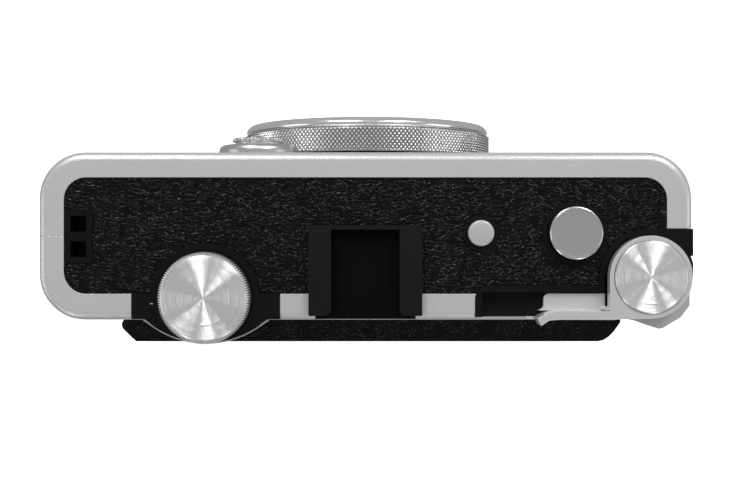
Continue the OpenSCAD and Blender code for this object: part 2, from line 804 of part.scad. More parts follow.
module front_shutter_button() color(silver) {
    translate([front_button_x, front_y, front_button_z]) rotate([90, 0, 0]) {
        translate([0, 0, -0.8]) cylinder(h = 2.2, r = front_button_r - 0.1);
        translate([0, 0, -wall - 0.9]) cylinder(h = wall + 0.5, r = front_button_r - 1);
    }
}

// ---- Top controls ----

module film_dial() color(silver) {
    z0 = body_h - 0.4;
    difference() {
        union() {
            stud_z(dial_x, dial_y, z0, dial_h - 0.5, dial_r);
            translate([dial_x, dial_y, z0 + dial_h - 0.5]) cylinder(h = 0.5, r1 = dial_r, r2 = dial_r - 0.55);
            stud_z(dial_x, dial_y, body_h - 7.5, 7.5, dial_shaft_r);
        }
        stud_z(dial_x, dial_y, z0 + dial_h - 0.6, 2, dial_r - 0.62);
    }
}

module film_dial_cap() color(steel) {
    translate([dial_x, dial_y, body_h - 1 + dial_h]) cylinder(h = 0.7, r = dial_r - 0.66);
}

module print_lever() color(silver) {
    z1 = lever_z + lever_t;
    difference() {
        union() {
            translate([0, 0, lever_z]) linear_extrude(lever_t) {
                translate([lever_x, lever_y]) circle(lever_r);
                translate([lever_x, lever_y])
                    polygon([[0, 0], [lever_r, 0], [lever_r, arm_rear_y - lever_y], [0, lever_r]]);
                lever_arm_outline();
            }
            translate([0, 0, arm_z]) linear_extrude(z1 - arm_z) difference() {
                lever_arm_outline();
                translate([lever_x - 1, rear_y - 20]) square([ledge_x0 - lever_x + 1, 40]);
            }
            translate([0, 0, arm_z]) linear_extrude(1.4) lever_ledge_outline();
            stud_z(lever_x, lever_y, body_h - 8, lever_z - body_h + 8.2, lever_shaft_r);
        }
        stud_z(lever_x, lever_y, z1 - 0.8, 3, lever_r - 0.8);
    }
}

// Arm of the lever: a straight blade whose end bends outwards
module lever_arm_outline() {
    y0 = arm_rear_y - arm_t;
    polygon([[lever_x + lever_r - 1, y0], [arm_bend_x, y0], [arm_bend_x + 2, y0 + 0.35], [arm_tip_x, y0 + 1.35],
        [arm_tip_x - 0.7, y0 + 2.75], [arm_bend_x + 1.6, y0 + 1.75], [arm_bend_x, arm_rear_y],
        [lever_x + lever_r - 1, arm_rear_y]]);
    translate([lever_x + lever_r, lever_y + lever_r - arm_t - 1]) difference() {
        translate([-0.1, 0]) square([1.1, 1.1]);
        translate([1, 0]) circle(1);
    }
}

// Ledge in front of the arm, with a round outer corner and a fillet against the arm
module lever_ledge_outline() {
    corner = 1;
    y1 = arm_rear_y - arm_t + 0.1;
    translate([ledge_x0, ledge_front_y + corner]) square([ledge_x1 - ledge_x0, y1 - ledge_front_y - corner]);
    translate([ledge_x0, ledge_front_y]) square([ledge_x1 - ledge_x0 - corner, corner + eps]);
    translate([ledge_x1 - corner, ledge_front_y + corner]) circle(corner);
    difference() {
        translate([ledge_x1 - eps, y1 - 1.1]) square([1, 1.1]);
        translate([ledge_x1 + 1, y1 - 1.1]) circle(1);
    }
}

module lever_cap() color(steel) {
    translate([lever_x, lever_y, lever_z + lever_t - 0.78]) cylinder(h = 1.2, r = lever_r - 0.9);
}

module lever_spring() color(steel) {
    translate([lever_x, lever_y, body_h - 7.6]) coil(3.3, 0.3, 4, 2.8);
}

button_stem_r = 1.5;

module shutter_button() color(steel) {
    z0 = body_h - 2.2;
    difference() {
        union() {
            stud_z(shutter_x, button_y, z0, 3.6, shutter_r);
            translate([shutter_x, button_y, z0 + 3.55]) soft_disc_high(shutter_r - 0.15, 1, 0.35);
            stud_z(shutter_x, button_y, body_h - 5.6, 4, button_stem_r);
        }
    }
}

module shutter_spring() color(steel) {
    translate([shutter_x, button_y, body_h - 6.6]) coil(2.2, 0.2, 3, 4);
}

module function_button() color(silver) {
    stud_z(function_x, button_y, body_h - 2.2, 3.3, function_r);
    stud_z(function_x, button_y, body_h - 5.2, 3.2, 1.1);
}

// ---- Inside the body ----

module top_board() color(board_green) {
    z1 = top_board_z + 1;
    box(top_board_x0, top_board_x1, button_y - 6, button_y + 5, top_board_z, z1);
    box(shutter_x - 2.9, shutter_x + 2.9, button_y - 2.9, button_y + 2.9, z1 - 0.1, z1 + 0.35);
    box(function_x - 2.4, function_x + 2.4, button_y - 2.4, button_y + 2.4, z1 - 0.1, z1 + 1.2);
}

module film_chamber() color(black) {
    z0 = chamber_z0 - chamber_wall;
    difference() {
        union() {
            box(chamber_x0 - chamber_wall, chamber_x1 + chamber_wall, chamber_y0 - chamber_wall, rear_y - wall - 0.1,
                z0, chamber_z1 + chamber_wall);
            box(-side_x + 5, side_x - 5, -rear_y + 4, rear_y - 4, wall, wall + 1);
            for (x = [-40, -20, 20, 36]) box(x - 0.8, x + 0.8, chamber_y0, 8, wall + 0.9, z0 + 0.1);
        }
        box(chamber_x0, chamber_x1, chamber_y0, rear_y + 1, chamber_z0, chamber_z1);
        box(-34, 28, chamber_y0 - 5, chamber_y0 + 1, chamber_z0 + 8, chamber_z1 - 8);
        box(chamber_x1 - 1, chamber_x1 + 5, film_y - 0.6, film_y + 0.6, chamber_z0 + 3.5, chamber_z1 - 3.5);
        box(-9.1, 9.1, -4.6, 4.6, 0, wall + 2);
        for (p = base_screw_places) stud_z(p[0], p[1], 0, wall + 2, 0.9);
    }
}

// Two plates and two posts that carry the rollers, the gears and the motor
module roller_frame() color([0.2, 0.2, 0.2]) {
    difference() {
        union() {
            box(pinion_x - motor_r - 0.6, roller_x + 6, idler_y - 4.6, rear_roller_y + 4, plate_z, plate_z + plate_t);
            box(chamber_x1 + chamber_wall + 0.3, roller_x + 6, front_roller_y - 3.6, rear_roller_y + 4, foot_z, foot_z + plate_t);
            for (y = [[front_roller_y - 3.6, front_roller_y - 1.2], [rear_roller_y + 1.6, rear_roller_y + 4]])
                box(roller_x + roller_r + 1.2, roller_x + 6, y[0], y[1], foot_z + 0.5, plate_z + 0.5);
            stud_z(idler_x, idler_y, plate_z, gear_z + gear_t + 0.3 - plate_z, idler_post_r);
            box(pinion_x - motor_r - 0.6, pinion_x - motor_r + 0.4, idler_y - 4, idler_y + 4, plate_z, motor_z);
            box(pinion_x - motor_r - 0.6, pinion_x + motor_r, idler_y - 4, idler_y + 4, motor_z - 1, motor_z);
        }
        for (y = [front_roller_y, rear_roller_y]) stud_z(roller_x, y, 0, 200, roller_shaft_r + run_gap);
        stud_z(pinion_x, idler_y, motor_z - 2, 5, motor_shaft_r + 0.4);
    }
}

// Roller with its shaft and its gear
module roller(y, turn) {
    stud_z(roller_x, y, foot_z + 2 * plate_t, plate_z - foot_z - 3 * plate_t, roller_r);
    stud_z(roller_x, y, foot_z, gear_z + 0.1 - foot_z, roller_shaft_r);
    translate([roller_x, y, gear_z]) linear_extrude(gear_t) gear_outline(gear_teeth, turn);
}

module front_roller() color([0.2, 0.2, 0.2]) roller(front_roller_y, 90);

// A tooth of the rear gear stands half a pitch off the front gear's tooth
module rear_roller() color([0.25, 0.25, 0.25]) roller(rear_roller_y, -90 + 180 / gear_teeth);

// The idler's teeth are set so that one of its gaps faces the roller gear's nearest tooth
module idler_gear() color([0.85, 0.85, 0.8]) {
    facing = idler_angle - 180;
    tooth_lag = (idler_angle - 90) * gear_teeth / 360;
    part = tooth_lag - floor(tooth_lag);
    turn = facing + (180 + 360 * part) / idler_teeth;
    translate([idler_x, idler_y, gear_z]) linear_extrude(gear_t) difference() {
        gear_outline(idler_teeth, turn);
        circle(idler_post_r + run_gap);
    }
}

module motor_pinion() color([0.8, 0.7, 0.4]) {
    facing = idler_angle - 180;
    tooth_lag = (idler_angle - 90) * gear_teeth / 360;
    idler_turn = facing + (180 + 360 * (tooth_lag - floor(tooth_lag))) / idler_teeth;
    pinion_lag = (180 - idler_turn) * idler_teeth / 360;
    turn = (180 + 360 * (pinion_lag - floor(pinion_lag))) / pinion_teeth;
    translate([pinion_x, idler_y, gear_z]) linear_extrude(gear_t) gear_outline(pinion_teeth, turn);
    stud_z(pinion_x, idler_y, gear_z + gear_t - 0.1, motor_z - gear_z - gear_t + 3, motor_shaft_r);
}

module print_head() color([0.15, 0.15, 0.16]) {
    x0 = chamber_x1 + chamber_wall + 0.1;
    box(x0, x0 + 2.6, film_y - 5.4, film_y - 0.5, chamber_z0 + 3, chamber_z1 - 3);
    box(x0 + 0.2, x0 + 2.4, film_y - 6.4, film_y - 5.3, chamber_z0 + 8, chamber_z1 - 20);
}

board_y = front_y + wall + 2.2;

module main_board() color(board_green) {
    box(-48, 40, board_y, board_y + 1.2, 6, body_h - 23);
    stud_y(front_button_x, front_button_z, board_y + 0.1, 0.5, 2);
    for (c = [[18, 14, 12, 12], [18, 52, 10, 8], [-30, 54, 14, 8], [30, 24, 6, 14]])
        box(c[0] - c[2] / 2, c[0] + c[2] / 2, board_y + 1.1, board_y + 2.3, c[1] - c[3] / 2, c[1] + c[3] / 2);
}

module battery() color([0.25, 0.27, 0.3]) {
    box(-42, -13, board_y + 1.35, chamber_y0 - chamber_wall - 0.1, 8, 46);
}

module flash_capacitor() color([0.1, 0.12, 0.2]) {
    translate([-42, 7, chamber_z1 + chamber_wall + 4.2]) rotate([0, 90, 0]) cylinder(h = 26, r = 4);
}

module motor() color(steel) {
    difference() {
        stud_z(pinion_x, idler_y, motor_z, body_h - 4.5 - motor_z, motor_r);
        stud_z(pinion_x, idler_y, motor_z - 1, 5, motor_shaft_r + run_gap);
    }
}

module film_exit_trim() color(silver) {
    difference() {
        box(side_x - wall - 0.2, side_x + leather_proud + 0.05, exit_y0 + 0.05, -0.05, exit_z0 + 0.05, exit_z1 - 0.05);
        box(side_x - wall - 3, side_x + 3, film_y - 1, film_y + 1, exit_z0 + 2, exit_z1 - 2);
    }
}

module tripod_socket() color(steel) {
    difference() {
        union() {
            stud_z(0, 0, 0, tripod_len + socket_cap, 4.5);
            box(-9, 9, -4.5, 4.5, wall, wall + 1.6);
        }
        stud_z(0, 0, -1, tripod_len + 1, tripod_r);
    }
}

// Cross-head screws: four in the shoe and four in the base
module screws() color(steel) {
    for (p = shoe_screw_places)
        translate([p[0], p[1], shoe_floor_z - 0.5]) screw(1.2, 0.45, 0.6, 1.6);
    for (p = base_screw_places)
        translate([p[0], p[1], 1.05]) mirror([0, 0, 1]) screw(1.9, 0.8, 0.85, 2.6);
}

// ---- Ports ----

module port_bay() {
    x0 = -side_x - 1;
    box(x0, -side_x + port_t + 0.1, port_y0 - 0.1, port_pin_y, port_z0 - 0.1, port_z1 + 0.1);
    stud_z(-side_x + port_t / 2 - leather_proud, port_pin_y, port_z0 - 0.1, port_z1 - port_z0 + 0.2, port_t / 2 + 0.1);
    box(x0, -side_x + port_t / 2 - leather_proud, port_pin_y, port_pin_y + port_t / 2 + 0.1, port_z0 - 0.1, port_z1 + 0.1);
    box(-side_x, -side_x + wall + 1, 2, 4.8, 26, 34.5);
    box(-side_x, -side_x + wall + 1, 2.6, 4.2, 38, 50);
    stud_z(-side_x + port_t / 2 - leather_proud, port_pin_y, port_z0 - 0.55, port_z1 - port_z0 + 1.1, port_pin_r + 0.02);
}

module port_door() color(black) {
    px = -side_x + port_t / 2 - leather_proud;
    difference() {
        union() {
            box(-side_x - leather_proud, -side_x + port_t - leather_proud, port_y0, port_pin_y, port_z0, port_z1);
            stud_z(px, port_pin_y, port_z0, port_z1 - port_z0, port_t / 2);
        }
        stud_z(px, port_pin_y, port_z0 - 1, port_z1 - port_z0 + 2, port_pin_r + run_gap);
        box(-side_x - 1, -side_x - leather_proud + 0.25, port_y0 - 1, port_y0 + 0.9, 34, 40);
    }
}

module port_board() color(board_green) {
    box(-side_x + wall + 0.2, -side_x + wall + 9.5, 1.2, 2, 22, 54);
    difference() {
        box(-side_x + wall - 0.6, -side_x + wall + 5, 2.05, 4.75, 26.2, 34.3);
        box(-side_x + wall - 2, -side_x + wall + 4, 2.5, 4.3, 26.7, 33.8);
    }
    difference() {
        box(-side_x + wall + 0.2, -side_x + wall + 9, 2, 4.1, 37.8, 50.2);
        box(-side_x + wall - 1, -side_x + wall + 8, 2.9, 3.8, 38.3, 49.7);
    }
}

// ---- Film door ----

// Outline of the door behind the rear face, skin_t inside its leather; both ends slope at 45 degrees
module door_outline(skin_t = 0) {
    y0 = rear_y + door_gap;
    knuckle_edge = knuckle_r * cos(45);
    polygon([[hinge_x, y0], [hinge_x, hinge_y], [hinge_x + knuckle_edge, hinge_y + knuckle_edge],
        [door_x1 + skin_t, door_face_y - skin_t], [door_x0 + 4.4, door_face_y - skin_t],
        [door_x0 + 3.3 + skin_t * 0.3, door_face_y - 0.25 - skin_t * 0.9],
        [door_x0 + 2.3 + skin_t * 0.6, door_face_y - 0.9 - skin_t * 0.8],
        [door_x0 + 1.4 + skin_t * 0.8, door_face_y - 1.8 - skin_t * 0.6],
        [door_x0 + skin_t, y0 + 0.8], [door_x0 + skin_t, y0]]);
    translate([hinge_x, hinge_y]) circle(knuckle_r);
}

module door_face_holes(grow = 0) {
    box(screen_x0 - 0.1 - grow, screen_x1 + 0.1 + grow, door_face_y - panel_t - glass_t - 0.1, door_face_y + 5,
        screen_z0 - 0.1 - grow, screen_z1 + 0.1 + grow);
    stud_y(pad_x, pad_z, door_face_y + 5, 5 + 3.2, pad_r + 0.4);
    for (z = [play_z, back_z]) stud_y(pad_x, z, door_face_y + 5, 5 + 3.2, small_button_r + 0.12);
    box(latch_x - 1.7, latch_x + 1.7, door_face_y - 1.5, door_face_y + 5, latch_z - 4.5, latch_z + 7.5);
}

module film_door() color(black) {
    difference() {
        union() {
            translate([0, 0, door_z0]) linear_extrude(door_z1 - door_z0) door_outline(leather_t);
            difference() {
                box(window_x0 + 0.4, window_x1 - 0.4, rear_y - 1.5, rear_y + 0.3, window_z0 + 0.4, window_z1 - 0.4);
                box(window_x0 + 2, window_x1 - 2, rear_y - 3, rear_y + 0.2, window_z0 + 2, window_z1 - 2);
            }
        }
        door_face_holes();
        stud_z(hinge_x, hinge_y, door_z0 + 1, door_z1 - door_z0 - 2, hinge_pin_r + run_gap);
        for (k = leaf_knuckles) {
            stud_z(hinge_x, hinge_y, k[0] - fit_gap, k[1] - k[0] + 2 * fit_gap, knuckle_r + fit_gap);
            box(hinge_x - knuckle_r - fit_gap, hinge_x + 5, 0, hinge_y, k[0] - fit_gap, k[1] + fit_gap);
            box(hinge_x, hinge_x + 5, 0, rear_y + door_t, k[0] - fit_gap, k[1] + fit_gap);
        }
        box(latch_x - 1.2, latch_x + 1.2, rear_y - 2, door_face_y, latch_z - 2, latch_z + 6);
        box(latch_x - 1.7, latch_x + 1.7, rear_y - 2, rear_y + 0.1, window_z0, latch_z + 6);
    }
}

module door_leather() color(leather_colour) {
    difference() {
        translate([0, 0, door_z0 + 0.05]) linear_extrude(door_z1 - door_z0 - 0.1) difference() {
            door_outline();
            door_outline(leather_t);
            polygon([[door_x1 - 5.05, door_face_y + 5], [door_x1 + door_face_y - 10.05, 10], [70, 10],
                [70, door_face_y + 5]]);
        }
        door_face_holes(1.2);
        stud_y(pad_x, pad_z, door_face_y + 5, 8, pad_r + 1.1);
        for (z = [play_z, back_z]) stud_y(pad_x, z, door_face_y + 5, 8, small_button_r + 0.9);
    }
}

module screen_panel() color([0.1, 0.1, 0.11]) {
    box(screen_x0 + 0.1, screen_x1 - 0.1, door_face_y - panel_t - glass_t, door_face_y - glass_t - 0.05,
        screen_z0 + 0.1, screen_z1 - 0.1);
}

module screen_glass() color([0.03, 0.03, 0.04]) {
    box(screen_x0, screen_x1, door_face_y - glass_t, door_face_y - 0.05, screen_z0, screen_z1);
}

// Slider with a bolt that reaches behind the rear wall
module door_latch() color(black) {
    box(latch_x - 1.6, latch_x + 1.6, door_face_y - 1.4, door_face_y + 0.5, latch_z - 4.4, latch_z + 4.4);
    box(latch_x - 1.1, latch_x + 1.1, rear_y - 1.4, door_face_y - 1.3, latch_z - 1.9, latch_z + 2.4);
    box(latch_x - 1.5, latch_x + 1.5, rear_y - 1.4, rear_y - 0.1, window_z0 - 1, latch_z + 2.4);
}

// Two bowed leaf springs that press on the film pack
module pressure_springs() color(steel) {
    for (x = [-28, 22]) translate([x, rear_y + door_gap, 39]) rotate([0, -90, 0]) mirror([0, 1, 0])
        linear_extrude(8, center = true)
            polygon([[-22, 0], [0, 0.5], [22, 0], [22, 0.3], [0, 0.8], [-22, 0.3]]);
}

key_foot = 2;

module control_pad() color(silver) {
    difference() {
        translate([pad_x, door_face_y - key_foot, pad_z]) mirror([0, 1, 0]) rotate([90, 0, 0])
            soft_disc_high(pad_r - 0.2, key_foot + pad_proud, 0.6);
        stud_y(pad_x, pad_z, door_face_y + 10, 20, ok_r + 0.2);
    }
}

module ok_button() color(silver) {
    translate([pad_x, door_face_y - key_foot, pad_z]) mirror([0, 1, 0]) rotate([90, 0, 0])
        soft_disc_high(ok_r, key_foot + pad_proud - 0.3, 0.4);
}

module small_button(z) color(silver) {
    translate([pad_x, door_face_y - key_foot, z]) mirror([0, 1, 0]) rotate([90, 0, 0])
        soft_disc_high(small_button_r, key_foot + 0.7, 0.4);
}

module play_button() small_button(play_z);
module back_button() small_button(back_z);

// Two knuckles on feet that are fixed to the rear face
module hinge_leaf() color(black) {
    difference() {
        for (k = leaf_knuckles) {
            stud_z(hinge_x, hinge_y, k[0], k[1] - k[0], knuckle_r);
            box(hinge_x - knuckle_r, hinge_x + knuckle_r, rear_y, hinge_y, k[0], k[1]);
        }
        stud_z(hinge_x, hinge_y, 0, 200, hinge_pin_r + 0.02);
    }
}

module hinge_pins() color(steel) {
    stud_z(hinge_x, hinge_y, door_z0 + 1.2, door_z1 - door_z0 - 2.4, hinge_pin_r);
    stud_z(-side_x + port_t / 2 - leather_proud, port_pin_y, port_z0 - 0.5, port_z1 - port_z0 + 1, port_pin_r);
}

front_shell();
rear_shell();
front_leather();
rear_leather();
top_deck();
top_leather();
dial_base();
lever_base();
strap_anchor();
accessory_shoe();
shoe_spring();
screws();
lens_barrel();
front_rim();
lens_window();
camera_module();
power_collar();
flash_window();
flash_reflector();
flash_tube();
selfie_mirror();
film_chamber();
roller_frame();
print_head();
battery();
main_board();
flash_capacitor();
top_board();
motor();
film_exit_trim();
tripod_socket();
port_board();
hinge_leaf();
hinge_pins();
lens_ring();
film_dial();
film_dial_cap();
power_dial();
print_lever();
lever_cap();
lever_spring();
shutter_button();
shutter_spring();
function_button();
front_shutter_button();
film_door();
door_leather();
screen_panel();
screen_glass();
door_latch();
pressure_springs();
control_pad();
ok_button();
play_button();
back_button();
port_door();
front_roller();
rear_roller();
idler_gear();
motor_pinion();
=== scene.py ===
# Rangefinder-style instant camera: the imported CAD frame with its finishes, and the pieces that
# are surfaces of their own. Metres, +Z up, the lens looks along -Y.
import math

import bmesh
import bpy
import numpy as np
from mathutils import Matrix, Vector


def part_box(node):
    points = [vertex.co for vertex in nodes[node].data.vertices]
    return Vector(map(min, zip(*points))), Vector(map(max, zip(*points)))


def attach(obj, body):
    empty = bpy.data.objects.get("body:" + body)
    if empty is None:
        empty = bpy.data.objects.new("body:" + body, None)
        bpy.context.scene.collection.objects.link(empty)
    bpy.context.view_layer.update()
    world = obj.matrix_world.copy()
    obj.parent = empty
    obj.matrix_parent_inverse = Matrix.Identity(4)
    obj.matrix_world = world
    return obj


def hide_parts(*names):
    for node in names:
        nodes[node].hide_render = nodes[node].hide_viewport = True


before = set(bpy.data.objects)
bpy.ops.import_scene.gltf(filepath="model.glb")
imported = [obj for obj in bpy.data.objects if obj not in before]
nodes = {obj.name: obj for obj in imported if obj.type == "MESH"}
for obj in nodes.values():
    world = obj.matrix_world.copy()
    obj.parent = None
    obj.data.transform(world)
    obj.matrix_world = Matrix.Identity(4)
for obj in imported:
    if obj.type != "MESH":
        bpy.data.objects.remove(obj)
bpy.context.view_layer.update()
MM = 0.001

# ---- Stage -------------------------------------------------------------------------------------
# A glowing white table under the camera, two long soft boxes past the front edge, weaker ones
# behind and at the sides, and a camera that looks straight down, the lens to the picture's top.
scene = bpy.context.scene
scene.view_settings.view_transform = "Standard"
deck_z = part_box("front_shell")[1].z
table_half = 3
table_drop = 0.2 * MM
table_corners = [(x * table_half, y * table_half, -table_drop)
                 for x, y in ((-1, -1), (1, -1), (1, 1), (-1, 1))]
table = bpy.data.meshes.new("table")
table.from_pydata(table_corners, [], [(0, 1, 2, 3)])
table_object = bpy.data.objects.new("table", table)
scene.collection.objects.link(table_object)
table_object.visible_diffuse = False
table_object.visible_glossy = False
table_paint = bpy.data.materials.new("white_table")
table_paint.use_nodes = True
table_shader = table_paint.node_tree.nodes["Principled BSDF"]
table_look = {"Base Color": (0.8, 0.8, 0.8, 1), "Roughness": 0.9, "Specular IOR Level": 0.1,
              "Emission Color": (1, 1, 1, 1), "Emission Strength": 0.9}
for socket, value in table_look.items():
    table_shader.inputs[socket].default_value = value
table.materials.append(table_paint)

view_distance = 0.220
view_width = 0.1406
view_x, view_y = -0.0018, 0.00066
sensor_width = 36
lens_camera = bpy.data.cameras.new("view")
lens_camera.sensor_width = sensor_width
lens_camera.lens = sensor_width * view_distance / view_width
lens_camera.clip_start = 0.01
view_object = bpy.data.objects.new("view", lens_camera)
view_object.location = (view_x, view_y, deck_z + view_distance)
view_object.rotation_euler = (0, 0, math.pi)
scene.collection.objects.link(view_object)
scene.camera = view_object

world = bpy.data.worlds.new("room")
world.use_nodes = True
room_glow = world.node_tree.nodes["Background"]
room_glow.inputs["Color"].default_value = (1, 1, 1, 1)
room_glow.inputs["Strength"].default_value = 0.34
scene.world = world


def soft_box(name, place, size, power, aim=(0, 0, 0.08)):
    """An oblong area light of size (width, height) and power in watts, at place and facing aim."""
    light = bpy.data.lights.new(name, "AREA")
    light.shape = "RECTANGLE"
    light.size, light.size_y = size
    light.energy = power
    holder = bpy.data.objects.new(name, light)
    holder.location = place
    toward = np.array(aim, float) - np.array(place, float)
    yaw = math.atan2(toward[1], toward[0])
    tilt = math.atan2(math.hypot(toward[0], toward[1]), -toward[2])
    holder.rotation_euler = (tilt, 0, yaw - math.pi / 2)
    scene.collection.objects.link(holder)


front_size, rear_size, side_size = (0.25, 0.50), (0.16, 0.40), (0.4, 0.4)
soft_box("front_left_box", (0.25, -0.63, 0.62), front_size, 3.4)
soft_box("front_right_box", (-0.38, -0.56, 0.62), front_size, 3.0)
soft_box("rear_left_box", (0.44, 0.66, 0.40), rear_size, 0.7)
soft_box("rear_right_box", (-0.29, 0.74, 0.40), rear_size, 0.9)
soft_box("left_box", (0.8, 0.1, 0.35), side_size, 0.7)
soft_box("right_box", (-0.8, 0.1, 0.35), side_size, 0.7)


# ---- Silver shells -----------------------------------------------------------------------------
# The front and rear shells and the film exit's trim: moulded plastic with a satin silver paint,
# whose metal flakes sparkle a little. The halves meet on the side seam.
class Value:
    """One socket of a material, so that shader maths reads as plain arithmetic."""

    def __init__(self, sheet, socket):
        self.sheet = sheet
        self.socket = socket

    def _math(self, operation, *terms):
        return self.sheet.add("ShaderNodeMath", {"operation": operation}, *terms)

    def _vector(self, operation, *terms):
        return self.sheet.add("ShaderNodeVectorMath", {"operation": operation}, *terms)

    def __add__(self, other):
        return self._math("ADD", self, other)

    __radd__ = __add__

    def __mul__(self, other):
        return self._math("MULTIPLY", self, other)

    __rmul__ = __mul__

    def __sub__(self, other):
        return self._math("SUBTRACT", self, other)

    def __rsub__(self, other):
        return self._math("SUBTRACT", other, self)

    def __abs__(self):
        return self._math("ABSOLUTE", self)

    def __mod__(self, other):
        return self._math("FLOORED_MODULO", self, other)

    def sine(self):
        return self._math("SINE", self)

    def root(self):
        return self._math("SQRT", self)

    def at_most(self, other):
        return self._math("MINIMUM", self, other)

    def angle_from(self, other):
        """Angle of the point (other, self), in radians."""
        return self._math("ARCTAN2", self, other)

    def above(self, low, high):
        """0 below low, 1 above high and smooth between them."""
        smooth_step = {"interpolation_type": "SMOOTHSTEP"}
        return self.sheet.add("ShaderNodeMapRange", smooth_step, self, low, high, 0.0, 1.0)

    def plus(self, other):
        """Sum of two vectors."""
        return self._vector("ADD", self, other)

    def times(self, factor):
        """Vector times a number."""
        return self.sheet.add("ShaderNodeVectorMath", {"operation": "SCALE"}, self, Scale=factor)

    def unit(self):
        """Vector of length 1 in the same direction."""
        return self._vector("NORMALIZE", self)


class Sheet:
    """The nodes of one material, which ends in one Principled shader."""

    def __init__(self, name, roughness=0.5, metallic=0.0, **fixed):
        self.material = bpy.data.materials.new(name)
        self.material.use_nodes = True
        self.tree = self.material.node_tree
        self.shader = self.tree.nodes["Principled BSDF"]
        self.shader.inputs["Roughness"].default_value = roughness
        self.shader.inputs["Metallic"].default_value = metallic
        for socket, value in fixed.items():
            self.shader.inputs[socket.replace("_", " ")].default_value = value

    def add(self, kind, settings, *terms, out=0, **named):
        """One node of that kind: its settings first, then its inputs in order or by name."""
        node = self.tree.nodes.new(kind)
        for key, value in settings.items():
            setattr(node, key, value)
        spelled = [(key.replace("_", " "), term) for key, term in named.items()]
        for key, term in list(enumerate(terms)) + spelled:
            if isinstance(term, Value):
                self.tree.links.new(term.socket, node.inputs[key])
            else:
                node.inputs[key].default_value = term
        return Value(self, node.outputs[out])

    def place(self, stretch=(1, 1, 1), centre=(0, 0, 0), turn=(0, 0, 0)):
        """Object coordinates less centre, turned and stretched."""
        coords = self.add("ShaderNodeTexCoord", {}, out="Object")
        moved = self.add("ShaderNodeVectorMath", {"operation": "SUBTRACT"}, coords, centre)
        return self.add("ShaderNodeMapping", {"vector_type": "POINT"}, moved, (0, 0, 0), turn, stretch)

    def axes(self, vector):
        """The three numbers of a vector."""
        node = self.tree.nodes.new("ShaderNodeSeparateXYZ")
        self.tree.links.new(vector.socket, node.inputs[0])
        return [Value(self, output) for output in node.outputs]

    def noise(self, scale, detail=2.0, roughness=0.5, where=None):
        """Cloudy noise in space, between 0 and 1."""
        where = where or self.place()
        return self.add("ShaderNodeTexNoise", {},
                        Vector=where, Scale=scale, Detail=detail, Roughness=roughness)

    def noise_along(self, distance, scale, detail=2.0):
        """Noise of one number."""
        return self.add("ShaderNodeTexNoise", {"noise_dimensions": "1D"},
                        W=distance, Scale=scale, Detail=detail)

    def cells(self, scale, feature="F1", where=None, randomness=1.0):
        """Distance in a field of cells, from each one's middle (F1) or from its edge."""
        where = where or self.place()
        return self.add("ShaderNodeTexVoronoi", {"feature": feature}, out="Distance",
                        Vector=where, Scale=scale, Randomness=randomness)

    def colour(self, mask, low, high):
        """A colour between low and high, by mask."""
        node = self.tree.nodes.new("ShaderNodeMix")
        node.data_type = "RGBA"
        self.tree.links.new(mask.socket, node.inputs[0])
        first_colour, second_colour, mixed = 6, 7, 2
        for key, value in ((first_colour, low), (second_colour, high)):
            if isinstance(value, Value):
                self.tree.links.new(value.socket, node.inputs[key])
            else:
                node.inputs[key].default_value = (*value, 1)
        return Value(self, node.outputs[mixed])

    def bump(self, height, depth, strength=1.0, under=None):
        """A normal raised by height times depth, in metres."""
        terms = {"Strength": strength, "Distance": depth, "Height": height}
        if under is not None:
            terms["Normal"] = under
        return self.add("ShaderNodeBump", {}, **terms)

    def soft_edges(self, radius):
        """The normal with every sharp edge rounded off by radius."""
        return self.add("ShaderNodeBevel", {"samples": 4}, radius)

    def feed(self, **sockets):
        """Links each value to the shader's socket of that name."""
        for name, value in sockets.items():
            self.tree.links.new(value.socket, self.shader.inputs[name.replace("_", " ")])


def finish_node(name, material):
    """Gives one CAD node its material."""
    nodes[name].data.materials.clear()
    nodes[name].data.materials.append(material)


def silver_paint():
    """Grey paint with flakes: fine cells tint and dimple it, clouds and scuffs change its gloss, and
    a dark hairline runs where the halves meet, at y = 0."""
    sheet = Sheet("silver_paint", roughness=0.36, metallic=0.5)
    flakes = sheet.cells(4200)
    cloud = sheet.noise(2600, 3)
    tone = flakes * 0.8 + cloud * 0.2
    scuff = sheet.noise(60, 4, 0.6).above(0.35, 0.75)
    seam = 1 - abs(sheet.axes(sheet.place())[1]).above(0.00003, 0.00009)
    shade = tone * (1 - seam) - seam * 2
    sheet.feed(Base_Color=sheet.colour(shade, (0.57, 0.57, 0.565), (0.69, 0.69, 0.68)),
               Roughness=0.31 + 0.04 * cloud + 0.03 * scuff,
               Normal=sheet.bump(flakes - seam, 0.00004, 0.5, sheet.soft_edges(0.00018)))
    return sheet.material


silver = silver_paint()
for name in ("front_shell", "rear_shell", "film_exit_trim"):
    finish_node(name, silver)

# ---- Leather -----------------------------------------------------------------------------------
# The deck, the front, the back and the door are covered with black leatherette: a pressed sheet
# with a coarse grain of low pebbles and creases, glued down, its edges hidden in shallow steps.


